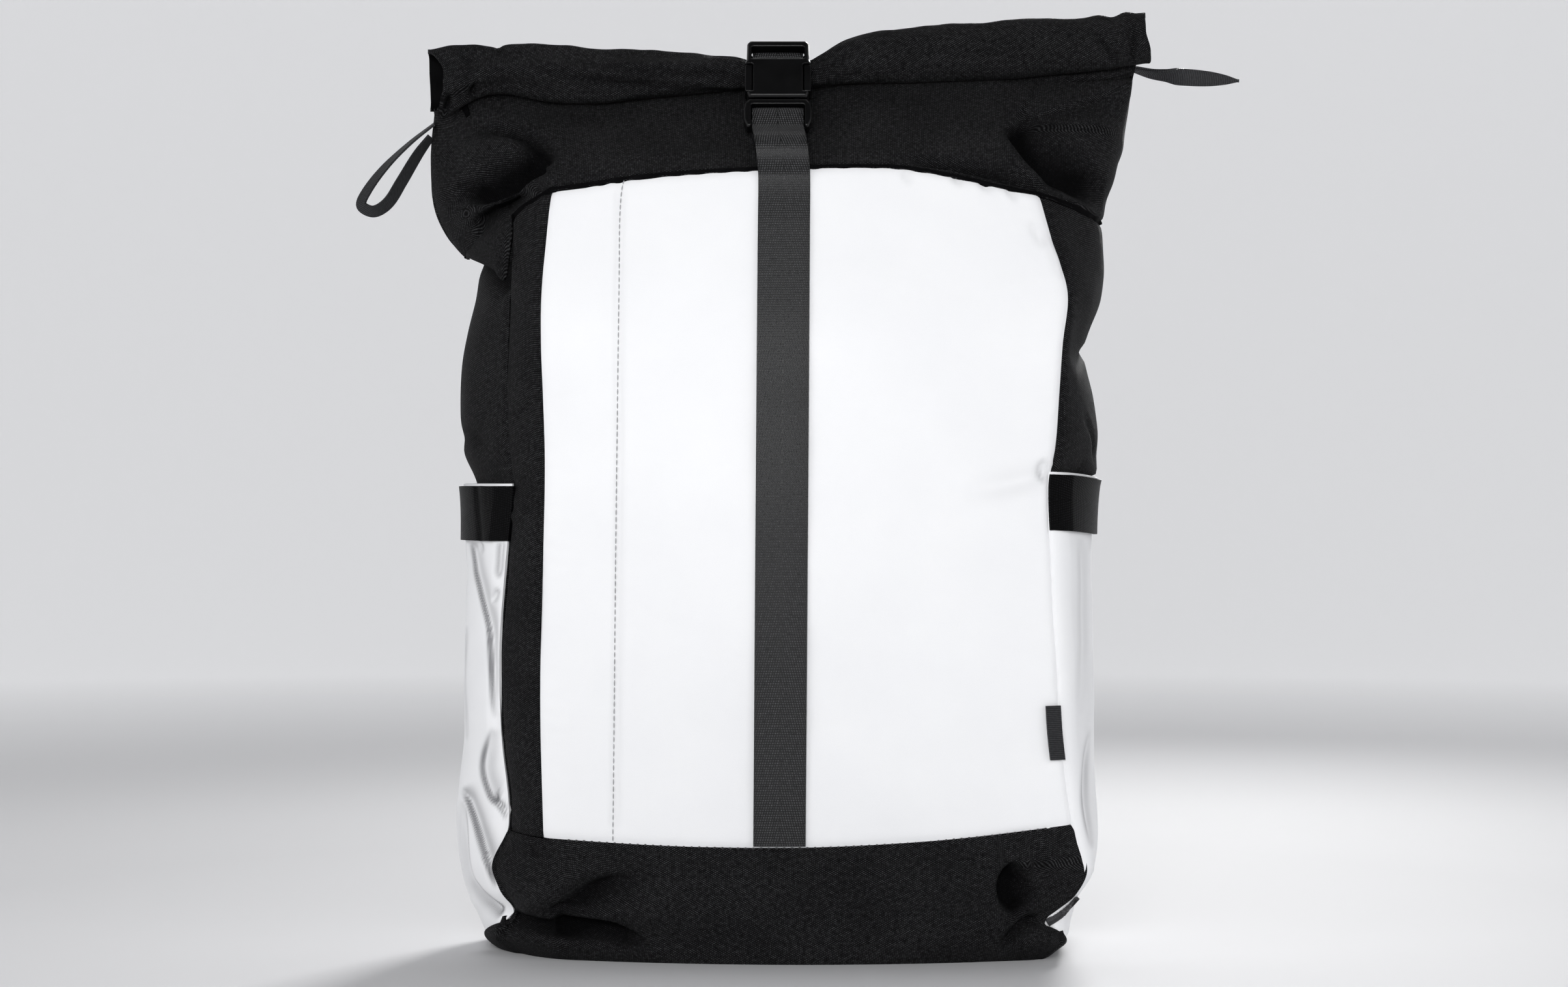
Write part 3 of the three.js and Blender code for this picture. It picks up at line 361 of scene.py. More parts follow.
def lengths(points, axis):
    """Distance travelled along a grid's rows or columns."""
    step = np.linalg.norm(np.diff(points, axis=axis), axis=-1)
    start = np.zeros_like(np.take(points[..., 0], [0], axis=axis))
    return np.concatenate([start, np.cumsum(step, axis=axis)], axis=axis)


def run_along(line):
    """Distance travelled along a line of points."""
    return lengths(line[:, None], 0)[:, 0]


def edge_distances(points):
    """Distances from the left, right, first and last edge of a grid, in millimetres."""
    across = lengths(points, 1)
    along = lengths(points, 0)
    return across, across[:, -1:] - across, along, along[-1:] - along


# How far noises with different seeds lie apart
SEED_SHIFT = 17.3


def smooth_noise(points, size, seed):
    """Soft noise about zero at each point, with features of one size."""
    flat = points.reshape(-1, 3) / size + seed * SEED_SHIFT
    values = [noise.noise(Vector(p)) for p in flat]
    return np.array(values).reshape(points.shape[:-1])


def softness(points, seed, *waves):
    """Soft noise of several sizes and heights together."""
    return sum(smooth_noise(points, size, seed + i) * height for i, (size, height) in enumerate(waves))


def curve(points, count, even=False):
    """A smooth path through a few points, in steps that are even along it or between its points."""
    points = np.array(points, float)
    run = run_along(points) if even else np.arange(len(points), dtype=float)
    rows = {"run": run, **dict(enumerate(points.T))}
    made = blend(rows, "run", np.linspace(0, run[-1], count))
    return np.stack([made[i] for i in range(points.shape[1])], -1)


def steps(first, *stops):
    """Even steps from a first value to each stop in turn, a stop being a value and a number of points."""
    runs = [np.array([first], float)]
    for stop, count in stops:
        runs.append(np.linspace(runs[-1][-1], stop, count)[1:])
    return np.concatenate(runs)


def part(value, full):
    """How much of a full length is reached, from 0 to 1."""
    return np.clip(value / full, 0, 1)


def raised(points, height):
    """A grid lifted along its normals."""
    return points + normals(points) * height[..., None]


def fold(width, height, ends, *path, sharp=1.0, spread=1.0):
    """A fold along a path. It fades over a share of both ends, and a sharp one falls off fast on one side."""
    return {"width": width, "height": height, "ends": ends, "path": path, "sharp": sharp, "spread": spread}


FOLD_STEPS = 40


def fold_lift(flat, width, height, ends, path, sharp, spread):
    """The height that one fold adds."""
    path = curve(path, FOLD_STEPS)
    start, step = path[:-1], np.diff(path, axis=0)
    best = np.full(flat.shape[:-1], np.inf)
    place = np.zeros(flat.shape[:-1])
    side = np.ones(flat.shape[:-1])
    for i in range(len(start)):
        away = flat - start[i]
        t = part(away @ step[i], max(step[i] @ step[i], 1e-9))
        gap = np.linalg.norm(away - t[..., None] * step[i], axis=-1)
        nearer = gap < best
        best = np.where(nearer, gap, best)
        place = np.where(nearer, (i + t) / len(start), place)
        turn = step[i][0] * away[..., 1] - step[i][1] * away[..., 0]
        side = np.where(nearer, np.sign(turn), side)
    wide = width * (1 + (spread - 1) * place)
    reach = np.where(side > 0, wide, wide * sharp)
    fade_in = np.sin(part(place, ends[0]) * math.pi / 2)
    fade_out = np.sin(part(1 - place, ends[1]) * math.pi / 2)
    return height * (fade_in * fade_out) * np.exp(-((best / reach) ** 2))


def folds_lift(points, folds, plane=(0, 2)):
    """The height that folds drawn on one plane add to a grid."""
    flat = points[..., plane]
    return sum(fold_lift(flat, **entry) for entry in folds)


def steepness(points, lift):
    """The slope that a height adds to a grid."""
    slopes = []
    for axis in (1, 0):
        step = np.linalg.norm(np.gradient(points, axis=axis), axis=-1)
        slopes.append(np.gradient(lift, axis=axis) / np.maximum(step, 1e-6))
    return np.hypot(*slopes)


# Beside a sewn edge: how far the dip and the puckers reach, and the size of the puckers' wandering
DIP_REACH = 1.7
PUCKER_REACH = 7.0
PUCKER_START = 1.5
PUCKER_WANDER = 26.0
ALL_EDGES = (1, 1, 1, 1)


def sewn(points, edges, dip, pucker, seed, pitch=9.0):
    """A grid whose sewn edges dip into the seam and pucker beside it. Edges are left right first last."""
    along = [lengths(points, 0), lengths(points, 0), lengths(points, 1), lengths(points, 1)]
    lift = np.zeros(points.shape[:-1])
    wander = smooth_noise(points, PUCKER_WANDER, seed)
    for used, gap, run in zip(edges, edge_distances(points), along):
        if not used:
            continue
        wave = np.sin(2 * math.pi * run / pitch + 5 * wander) * (0.5 + wander)
        lift -= dip * np.exp(-((gap / DIP_REACH) ** 2))
        lift += pucker * wave * np.exp(-gap / PUCKER_REACH) * (1 - np.exp(-gap / PUCKER_START))
    return raised(points, lift)


def rumpled(points, height, size, seed):
    """A grid lifted by soft noise."""
    return raised(points, height * smooth_noise(points, size, seed))


LINE_STEPS = 260


def on_grid(points, path):
    """Points of a grid nearest to a path of x and z, with the directions out of the grid there."""
    flat, out = points.reshape(-1, 3), normals(points).reshape(-1, 3)
    line = curve(path, LINE_STEPS)
    gap = (flat[None, :, 0] - line[:, :1]) ** 2 + (flat[None, :, 2] - line[:, 1:]) ** 2
    nearest = np.argmin(gap, axis=1)
    place = np.stack([line[:, 0], flat[nearest, 1], line[:, 1]], -1)
    return place, out[nearest]


def weave_map(mesh, uv):
    """Gives a mesh its cloth coordinates, one pair of millimetres for each point."""
    layer = mesh.uv_layers.new(name="weave")
    corner = np.empty(len(mesh.loops), int)
    mesh.loops.foreach_get("vertex_index", corner)
    layer.uv.foreach_set("vector", np.asarray(uv, np.float32)[corner].ravel())


SHARP_EDGE = math.radians(55)


def new_object(name, vertices, faces, material, uv=None):
    """A smooth-shaded mesh object from millimetre points, with its cloth coordinates."""
    mesh = bpy.data.meshes.new(name)
    mesh.from_pydata((np.asarray(vertices) * MM).tolist(), [], faces)
    if uv is not None:
        weave_map(mesh, uv)
    mesh.materials.append(material)
    mesh.update()
    mesh.shade_smooth()
    mesh.set_sharp_from_angle(angle=SHARP_EDGE)
    made = bpy.data.objects.new(name, mesh)
    bpy.context.scene.collection.objects.link(made)
    return made


def sheet(name, points, thickness, material, out=None, uv_turn=False, lining=None, crease=None):
    """A closed sheet of cloth: the grid is its outer side, its inner side lies one thickness behind."""
    out = normals(points) if out is None else out
    rows, columns = points.shape[:2]
    inner = rows * columns
    vertices = np.concatenate([points.reshape(-1, 3), (points - out * thickness).reshape(-1, 3)])
    index = np.arange(inner).reshape(rows, columns)
    a, b, c, d = index[:-1, :-1], index[:-1, 1:], index[1:, 1:], index[1:, :-1]
    quads = [np.stack([a, b, c, d], -1).reshape(-1, 4)]
    quads.append(np.stack([a, d, c, b], -1).reshape(-1, 4) + inner)
    rim = [index[0], index[:, -1], index[-1, ::-1], index[::-1, 0]]
    for line in rim:
        quads.append(np.stack([line[1:], line[:-1], line[:-1] + inner, line[1:] + inner], -1))
    across, along = lengths(points, 1), lengths(points, 0)
    u = across - across[:, columns // 2][:, None]
    v = along - along[rows // 2]
    uv = np.stack([u, v], -1).reshape(-1, 2)
    if uv_turn:
        uv = uv[:, ::-1]
    made = new_object(name, vertices, np.concatenate(quads).tolist(), material, np.concatenate([uv, uv]))
    if crease is not None:
        values = np.concatenate([crease.ravel(), np.zeros(inner)]).astype(np.float32)
        made.data.attributes.new("crease", "FLOAT", "POINT").data.foreach_set("value", values)
    if lining:
        made.data.materials.append(lining)
        side = np.zeros(len(made.data.polygons), np.int32)
        side[len(quads[0]):len(quads[0]) * 2] = 1
        made.data.polygons.foreach_set("material_index", side)
    return made


def dress(made, slot, *nodes):
    """Ties a piece to the bag and hides what it replaces; the slot is not used."""
    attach(made, "root")
    if nodes:
        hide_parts(*nodes)


def cloth_piece(node, points, slot, crease=None, thickness=CLOTH, piece=None):
    """A lined sheet in place of a node. The flat size and area of its grid are worked out but not used."""
    made = sheet((piece or node) + "_cloth", points, thickness, CLOTHS[slot], lining=coating_and_shade, crease=crease)
    dress(made, slot, node)
    width = float(lengths(points, 1)[:, -1].max()) * MM
    length = float(lengths(points, 0)[-1].max()) * MM
    du, dv = np.diff(points, axis=1)[:-1], np.diff(points, axis=0)[:, :-1]
    area = float(np.linalg.norm(np.cross(du, dv), axis=-1).sum()) * MM * MM
    area = min(area, width * length)


def final_mesh(made, material):
    """Applies the modifiers of a piece, which keeps one smooth material."""
    bpy.context.view_layer.update()
    evaluated = made.evaluated_get(bpy.context.evaluated_depsgraph_get())
    mesh = bpy.data.meshes.new_from_object(evaluated)
    made.modifiers.clear()
    made.data = mesh
    mesh.materials.clear()
    mesh.materials.append(material)
    mesh.shade_smooth()
    return mesh


def mesh_points(mesh, what="co"):
    """The points of a mesh in its own units, or their normals."""
    flat = np.empty(len(mesh.vertices) * 3)
    mesh.vertices.foreach_get(what, flat)
    return flat.reshape(-1, 3)


# Padding swells by cloth simulation from a slightly smaller shape
PAD_VOXEL = 4.2
PAD_PRESSURE = 4.0
QUILT_PRESSURE = 260.0
PAD_FRAMES = 20


def even_voxels(made, size):
    """A modifier that rebuilds a mesh from even cells."""
    remesh = made.modifiers.new("even", "REMESH")
    remesh.mode = "VOXEL"
    remesh.voxel_size = size * MM


def fill(made, held, weave, cap, pressure=PAD_PRESSURE):
    """Swells a thin closed piece into a pad. Held points stay, and no point moves further than the cap."""
    material = made.data.materials[0]
    even_voxels(made, PAD_VOXEL)
    start = mesh_points(final_mesh(made, material)) / MM
    group = made.vertex_groups.new(name="held")
    group.add(np.flatnonzero(held(start)).tolist(), 1.0, "REPLACE")
    cloth = made.modifiers.new("filling", "CLOTH")
    cloth.settings.vertex_group_mass = group.name
    cloth.settings.use_pressure = True
    cloth.settings.uniform_pressure_force = pressure
    cloth.settings.effector_weights.gravity = 0.0
    cloth.collision_settings.use_collision = False
    cloth.point_cache.frame_start = 1
    cloth.point_cache.frame_end = PAD_FRAMES
    for step in range(1, PAD_FRAMES + 1):
        bpy.context.scene.frame_set(step)
    move = mesh_points(final_mesh(made, material)) / MM - start
    far = np.linalg.norm(move, axis=1, keepdims=True)
    swollen = start + move * np.minimum(1.0, cap / np.maximum(far, 1e-9))
    made.data.vertices.foreach_set("co", (swollen * MM).ravel())
    weave_map(made.data, weave(start))
    made.vertex_groups.clear()
    made.modifiers.new("round", "SUBSURF").levels = 1
    final_mesh(made, material)
    bpy.context.scene.frame_set(1)


# Materials
class Nodes:
    """A node material under construction."""

    def __init__(self, name):
        self.material = bpy.data.materials.new(name)
        self.material.use_nodes = True
        self.tree = self.material.node_tree
        self.shader = self.tree.nodes["Principled BSDF"]

    def add(self, kind, inputs=None, **settings):
        made = self.tree.nodes.new(kind)
        for key, value in settings.items():
            setattr(made, key, value)
        for key, value in (inputs or {}).items():
            self.put(made.inputs[key], value)
        return made

    def put(self, socket, value):
        if isinstance(value, bpy.types.NodeSocket):
            self.tree.links.new(value, socket)
        else:
            socket.default_value = value

    def math(self, operation, a, b=0.0, c=0.0):
        return self.add("ShaderNodeMath", {0: a, 1: b, 2: c}, operation=operation).outputs[0]

    def times(self, first, *others):
        for other in others:
            first = self.math("MULTIPLY", first, other)
        return first

    def ramp(self, value, low, high, start=0.0, end=1.0):
        made = self.add("ShaderNodeMapRange", {"Value": value, "From Min": start, "From Max": end,
                                               "To Min": low, "To Max": high})
        return made.outputs[0]

    def mix(self, share, a, b):
        """A colour between two. Sockets 6, 7 and 2 are the node's colours."""
        made = self.add("ShaderNodeMix", {"Factor": share}, data_type="RGBA")
        self.put(made.inputs[6], (*a, 1) if isinstance(a, tuple) else a)
        self.put(made.inputs[7], (*b, 1) if isinstance(b, tuple) else b)
        return made.outputs[2]

    def cloth_uv(self):
        return self.add("ShaderNodeUVMap", uv_map="weave").outputs[0]

    def cloth_place(self):
        """Place on the cloth in millimetres, across and along."""
        split = self.add("ShaderNodeSeparateXYZ", {0: self.cloth_uv()})
        return split.outputs[0], split.outputs[1]

    def crease(self):
        """How creased or hollow the cloth is, from 0 to 1. The cloths darken there as painted shade."""
        return self.add("ShaderNodeAttribute", attribute_name="crease").outputs["Fac"]

    def noise_at(self, place, scale, detail):
        return self.add("ShaderNodeTexNoise", {"Vector": place, "Scale": scale, "Detail": detail}).outputs[0]

    def cloth_noise(self, scale, detail):
        """Noise over the cloth, in cells a millimetre."""
        return self.noise_at(self.cloth_uv(), scale, detail)

    def solid_noise(self, scale, detail):
        """Noise through the object, in cells a metre."""
        return self.noise_at(self.add("ShaderNodeTexCoord").outputs["Object"], scale, detail)

    def wave(self, place, pitch):
        """A cosine between 0 and 1 with the given pitch."""
        turn = self.math("MULTIPLY", place, 2 * math.pi / pitch)
        return self.math("MULTIPLY_ADD", self.math("COSINE", turn), 0.5, 0.5)

    def bump(self, height, distance, strength):
        made = self.add("ShaderNodeBump", {"Height": height, "Distance": distance * MM, "Strength": strength})
        self.put(self.shader.inputs["Normal"], made.outputs[0])

    def finish(self, colour, roughness, **values):
        self.put(self.shader.inputs["Base Color"], (*colour, 1) if isinstance(colour, tuple) else colour)
        self.put(self.shader.inputs["Roughness"], roughness)
        for key, value in values.items():
            self.put(self.shader.inputs[key.replace("_", " ")], value)
        return self.material


YARN_ACROSS = 0.9
YARN_ALONG = 0.45


def woven_cloth(name, dark, light):
    """Coarse plain weave: every second crossing shows the brighter yarn, with painted glints, and painted
    shade darkening its creases and hollows.
    """
    n = Nodes(name)
    u, v = n.cloth_place()
    over = n.times(n.math("COSINE", n.times(u, math.pi / YARN_ACROSS)),
                   n.math("COSINE", n.times(v, math.pi / YARN_ALONG)))
    uneven = n.cloth_noise(0.45, 3.0)
    cloudy = n.cloth_noise(0.03, 3.0)
    # Painted glints: sparse brighter spots in the colour where yarn crossings would catch the light.
    glint = n.cloth_noise(0.75, 1.0)
    # The share fades to a tenth where the crease mask is full: painted shade in creases and hollows.
    share = n.times(n.ramp(over, 0.0, 1.0, -0.1, 0.9), n.ramp(uneven, 0.2, 1.35, 0.25, 0.75),
                    n.ramp(cloudy, 0.72, 1.18, 0.3, 0.7), n.ramp(glint, 0.8, 2.4, 0.5, 0.78),
                    n.ramp(n.crease(), 1.0, 0.1))
    n.bump(n.math("POWER", n.math("ABSOLUTE", over), 0.6), 0.2, 0.7)
    roughness = n.math("ADD", n.ramp(uneven, 0.56, 0.72), n.ramp(n.crease(), 0.0, 0.2))
    return n.finish(n.mix(share, dark, light), roughness, Sheen_Weight=0.004, Sheen_Roughness=0.45,
                    Specular_IOR_Level=0.045)


def reflective_cloth(name, dull, bright, crease_shade_colour):
    """Bright coated cloth with a fine beaded grain, grey in its creases as painted shade."""
    n = Nodes(name)
    grain = n.cloth_noise(3.2, 2.0)
    tone = n.math("ADD", n.ramp(grain, -0.35, 0.35, 0.3, 0.7), n.cloth_noise(0.02, 3.0))
    n.bump(grain, 0.05, 0.5)
    # Painted shade: grey along the creases, broken up by the grain.
    crease_shade_share = n.times(n.crease(), n.ramp(grain, 0.55, 1.1, 0.3, 0.7))
    colour = n.mix(crease_shade_share, n.mix(n.ramp(tone, 0, 1, 0.2, 1.1), dull, bright), crease_shade_colour)
    return n.finish(colour, n.ramp(grain, 0.42, 0.56), Specular_IOR_Level=0.3)


WEB_ACROSS = 1.17
WEB_ALONG = 1.19
WEB_SHIFT = 0.25
WEB_HALF = WEBBING_WIDTH / 2


def webbing_cloth(name, dark, light, gloss):
    """Herringbone webbing: slanted rows of dots that turn about the middle line."""
    n = Nodes(name)
    u, v = n.cloth_place()
    off = n.math("ABSOLUTE", u)
    slant = n.math("MULTIPLY_ADD", v, WEB_SHIFT * WEB_ACROSS / WEB_ALONG, off)
    dots = n.math("POWER", n.times(n.wave(slant, WEB_ACROSS), n.wave(v, WEB_ALONG)), 1.5)
    groove = n.ramp(off, 0.25, 1.0, 0.0, 0.7)
    selvedge = n.ramp(off, 1.0, 0.45, WEB_HALF - 2.4, WEB_HALF - 1.2)
    uneven = n.cloth_noise(0.55, 3.0)
    height = n.times(dots, groove, selvedge)
    share = n.times(height, n.ramp(uneven, 0.3, 1.4, 0.25, 0.75))
    n.bump(height, 0.4, 0.9)
    return n.finish(n.mix(share, dark, light), n.ramp(uneven, 0.36, 0.52), Sheen_Weight=0.01,
                    Sheen_Roughness=0.4, Specular_IOR_Level=gloss)


RIB_PITCH = 0.9


def ribbed_ribbon(name, dark, light):
    """Grosgrain: ribs across the ribbon."""
    n = Nodes(name)
    rib = n.wave(n.cloth_place()[1], RIB_PITCH)
    n.bump(rib, 0.22, 0.9)
    share = n.times(rib, n.ramp(n.cloth_noise(0.8, 2.0), 0.4, 1.2, 0.25, 0.75))
    return n.finish(n.mix(share, dark, light), 0.55, Sheen_Weight=0.02, Specular_IOR_Level=0.25)


def clouded(name, dark, light, clouds, grain, depth, roughness, gloss):
    """Plastic or a coating: a slight grain, with clouds of colour and gloss."""
    n = Nodes(name)
    cloudy = n.solid_noise(clouds, 3.0)
    n.bump(n.solid_noise(grain, 2.0), depth, 0.4)
    return n.finish(n.mix(cloudy, dark, light), n.ramp(cloudy, *roughness), Specular_IOR_Level=gloss)


def thread(name, dark, light):
    """Twisted sewing thread."""
    n = Nodes(name)
    fuzz = n.solid_noise(3000.0, 2.0)
    n.bump(fuzz, 0.05, 0.6)
    return n.finish(n.mix(fuzz, dark, light), 0.7)


black = woven_cloth("black_weave", (0.001, 0.001, 0.0012), (0.066, 0.0665, 0.069))
# Near white: the coat's own light silver, brightened as a painted reflection of its retroreflective shine.
silver = reflective_cloth("reflective_coat", (0.88, 0.885, 0.9), (0.94, 0.943, 0.948), (0.1, 0.1, 0.11))
web = webbing_cloth("herringbone_webbing", (0.002, 0.002, 0.0024), (0.13, 0.132, 0.138), 0.35)
# A darker copy of the herringbone webbing: painted shade for the side-facing pocket bands.
shaded_band_web = webbing_cloth("shaded_band_webbing", (0.001, 0.001, 0.0012), (0.012, 0.0123, 0.0135), 0.05)
tape = ribbed_ribbon("ribbed_ribbon", (0.006, 0.006, 0.007), (0.045, 0.046, 0.05))
grey_tape = ribbed_ribbon("grey_tape", (0.04, 0.04, 0.042), (0.075, 0.075, 0.08))
plastic = clouded("moulded_black", (0.0012, 0.0012, 0.0014), (0.003, 0.003, 0.0033),
                  clouds=90.0, grain=2600.0, depth=0.03, roughness=(0.24, 0.36), gloss=0.25)
# Lining for the inner faces: partly the cloth's dark coated back, partly painted shade, darker than the weave
# so the roll's slot looks dark.
coating_and_shade = clouded("coated_back_and_shade", (0.0012, 0.0012, 0.0014), (0.003, 0.003, 0.0034),
               clouds=60.0, grain=1400.0, depth=0.04, roughness=(0.6, 0.75), gloss=0.04)
black_thread = thread("black_thread", (0.021, 0.021, 0.0224), (0.03, 0.03, 0.032))
grey_thread = thread("grey_thread", (0.294, 0.294, 0.301), (0.42, 0.42, 0.43))
CLOTHS = {"black_cloth": black, "reflective_cloth": silver}

# Folds by width, height and fading ends, then a path of x and z. A negative height is a valley.
COLLAR_FOLDS = [
    fold(8, -11.5, (0.35, 0.15), (-160, 379), (-152, 373.4), (-143, 373.4), (-132, 377.2), (-122, 382),
        (-114.5, 386), sharp=0.4),
    fold(3, 3, (0.2, 0.3), (-150, 363), (-139.3, 369.6), (-132, 373.7), (-124.7, 376.6), (-115.8, 379),
        (-106.8, 380.5), sharp=0.8),
    fold(4.5, -9, (0.2, 0.4), (-151.5, 356), (-145.7, 360.3), (-138.7, 364.5), (-132, 368.9), (-121, 373.4)),
    fold(7, 4, (0.4, 0.3), (-160, 392), (-150, 396.5), (-140, 397.5), (-130, 395), (-122, 390)),
    fold(4, -6, (0.4, 0.15), (-152, 409), (-141, 407), (-131, 404.5), (-123.5, 400), (-117, 393.3),
        (-111.4, 386.5)),
    fold(4, -11, (0.12, 0.25), (116.3, 409), (118.2, 402.8), (122.7, 394.8), (129.7, 387.8),
        (138.6, 381.4), (147.6, 377.2), (160, 374.7), sharp=1.1, spread=1.8),
    fold(0.9, -2.6, (0.15, 0.3), (116, 409.5), (124.6, 413), (141.2, 416.8), (159, 423), (173, 429.5),
        sharp=10),
    fold(6, 2.4, (0.4, 0.3), (107, 401), (113, 393), (121, 384), (131, 377)),
    fold(4, 3, (0.3, 0.2), (134, 374), (144, 368.5), (154, 361)),
    fold(4, -1.4, (0.4, 0.3), (50, 388), (75, 388), (100, 383), (120, 375)),
    fold(2, 0.7, (0.3, 0.3), (-108, 384), (-60, 390), (-20, 391.5), (30, 391), (60, 391), (100, 384)),
    fold(2.6, -4.2, (0.3, 0.1), (62, 387.5), (77.4, 386), (96.6, 382.4), (115.7, 378), (128, 373.5),
        sharp=0.7),
    fold(0.9, -3, (0.4, 0.1), (129.7, 432.6), (150, 433), (166, 433.8), (178, 434.8)),
]
ROLL_FOLDS = [
    fold(1, -4.5, (0.4, 0.05), (-164, 426), (-164.5, 413), spread=2.4),
    fold(1, -4, (0.4, 0.05), (-151, 430.5), (-153, 419), spread=2.4),
    fold(2.4, -1.7, (0.3, 0.2), (-125.6, 439.4), (-107.5, 434), (-88.3, 430.8), (-56.5, 427.6),
        (-19, 427.3)),
    fold(2.2, -1.4, (0.3, 0.3), (-103.3, 441), (-77.8, 437.2), (-51, 435.3), (-24.6, 432.4)),
    fold(1.6, -1.5, (0.2, 0.5), (19, 435), (28, 440), (38, 445)),
    fold(1.6, -1.3, (0.2, 0.5), (20, 430.6), (32, 433), (46, 436.6)),
    fold(1.8, -1.1, (0.2, 0.6), (-18, 433), (-34, 436), (-50, 441)),
    fold(4, -1, (0.4, 0.4), (60, 447), (95, 445), (130, 449)),
    fold(1.7, -2, (0.3, 0.3), (157, 456), (161.6, 448.3), (167.4, 440)),
    fold(1.5, -1.8, (0.3, 0.3), (173.7, 460), (175.6, 449), (174.4, 438.8)),
    fold(2, 1.3, (0.3, 0.4), (165.4, 459), (170, 446)),
    fold(1.6, -1.6, (0.05, 0.6), (-141.5, 452), (-139, 446), (-133, 442)),
    fold(3, -1.6, (0.4, 0.4), (-158, 448), (-154, 438), (-157, 428)),
]
BOOT_FOLDS = [
    fold(1, -6, (0.4, 0.3), (-131, 23), (-127.8, 20.8), (-106.6, 19), (-84.4, 19.7), (-74.4, 15.7),
        (-60, 8.6), sharp=8),
    fold(3, 2, (0.2, 0.4), (-130, 26), (-118, 23.5), (-104, 22.5), (-86, 23), (-74, 19), sharp=0.7),
    fold(1.6, -5, (0.1, 0.5), (-112.5, 22.7), (-98.4, 32.7), (-84.4, 40.8), (-66, 43), sharp=7),
    fold(4, 1.8, (0.3, 0.5), (-126, 24), (-112, 33), (-96, 43), (-76, 46)),
    fold(1.5, -1.8, (0.3, 0.4), (-121, 56), (-114.7, 50.8)),
    fold(15, -7, (0.3, 0.15), (114.4, 50), (108.8, 44.6), (106.6, 37.4), (108.8, 29), (117.5, 21.8),
        sharp=0.1),
    fold(4.5, 2.4, (0.4, 0.2), (120, 58), (129, 52), (139, 45)),
    fold(1.4, -3.5, (0.3, 0.1), (106, 6), (111, 13), (118, 20), (124, 22), sharp=4),
    fold(4.5, 2.4, (0.3, 0.3), (117, 9), (127, 15), (135, 11)),
]
FRONT_FOLDS = [
    fold(2.2, 0.9, (0.4, 0.4), (127, 352), (133, 341), (135, 330)),
    fold(2, -0.7, (0.4, 0.4), (121, 358), (128, 345)),
    fold(1.6, -0.9, (0.2, 0.6), (84, 381), (88, 375)),
    fold(1.6, -0.9, (0.2, 0.6), (97, 378), (102, 372)),
    fold(1.6, -0.8, (0.2, 0.6), (110, 375), (114, 368)),
    fold(1.5, -0.6, (0.2, 0.6), (60, 382), (63, 376)),
    fold(5, 0.9, (0.6, 0.2), (88, 228), (108, 231), (127, 236)),
    fold(1.8, -1.8, (0.3, 0.3), (127, 243), (125.5, 237.5), (127.5, 232)),
    fold(1.3, -0.55, (0.02, 0.02), (-77, 376), (-77, 200), (-79, 66)),
]
STRIP_FOLDS = [
    fold(3, -1.8, (0.3, 0.3), (-131, 262), (-122, 266), (-114, 268)),
    fold(3.5, -2, (0.3, 0.3), (-131, 228), (-122, 230), (-114, 226)),
    fold(3, 1.2, (0.3, 0.3), (-131, 214), (-121, 219)),
    fold(4, -1.2, (0.4, 0.4), (-132, 340), (-122, 348)),
]
LEFT_POCKET_FOLDS = [
    fold(4.5, -1.9, (0.05, 0.25), (-153, 204), (-150.5, 190), (-147.5, 181), (-144.5, 172), (-141.5, 161),
        (-140.5, 152), (-139.5, 131), (-138, 118), sharp=0.2),
    fold(1.6, -1.2, (0.05, 0.5), (-135, 204), (-136, 191), (-137, 186)),
    fold(1.4, -1, (0.05, 0.7), (-148, 204), (-146, 197)),
    fold(1.8, -0.8, (0.3, 0.5), (-137, 180), (-140.5, 173)),
    fold(6, -2, (0.3, 0.2), (-139, 112), (-145.5, 94), (-141.5, 80), (-137, 77), sharp=0.2),
    fold(1.1, -1.2, (0.3, 0.1), (-141, 80), (-136, 75), (-131, 70)),
    fold(5, -2.2, (0.2, 0.1), (-158, 80), (-152, 70), (-145, 55), (-138, 36), sharp=0.25),
    fold(1.1, -2.4, (0.25, 0.05), (-157, 74), (-153.5, 42), (-148, 32), (-135, 22), sharp=3.5),
    fold(1.4, -1.2, (0.3, 0.3), (-155, 160), (-157, 135), (-155, 105)),
]
RIGHT_POCKET_FOLDS = [
    fold(2.4, -0.8, (0.2, 0.4), (146, 205), (148, 170), (146, 120)),
    fold(1.6, -1.4, (0.3, 0.3), (151, 110), (147.5, 80), (151, 56)),
    fold(2, -1.6, (0.2, 0.3), (142, 30), (148, 24), (150, 14)),
]
BAND_FOLDS = [
    fold(2, -0.9, (0.01, 0.01), (-149.5, 233), (-146.2, 201), sharp=0.5),
]
# Folds on the sides, with paths of y and z
SIDE_FOLDS = [
    fold(5, -1.2, (0.2, 0.5), (24, 200), (17, 165), (21, 118)),
    fold(6, -1.4, (0.3, 0.4), (40, 64), (22, 44), (4, 33), sharp=0.4),
    fold(3, -0.8, (0.1, 0.6), (2, 202), (5, 178)),
    fold(4, -0.9, (0.4, 0.4), (34, 150), (38, 110), (33, 80)),
]
GUSSET_FOLDS = {
    "left": [
        fold(7, -4.5, (0.1, 0.5), (-40, 328), (-22, 336), (0, 343), (30, 346)),
        fold(6, -2, (0.3, 0.4), (-36, 250), (-10, 256), (30, 250)),
    ],
    "right": [
        fold(3, -2.6, (0.3, 0.4), (-46, 286), (-24, 295), (0, 297), (40, 295)),
        fold(2.5, -1.6, (0.4, 0.3), (-44, 266), (-30, 256), (-20, 243)),
        fold(6, 4.5, (0.4, 0.4), (-40, 238), (-10, 238), (30, 238)),
    ],
}
# Heights between which a gusset becomes free above its pocket
GUSSET_FREE = {"left": (238, 250), "right": (232, 238)}


def places(start, end, count, length):
    """Even places between two seams, a little inside both."""
    inset = SEAM_INSET / length
    return np.linspace(start + inset, end - inset, count)


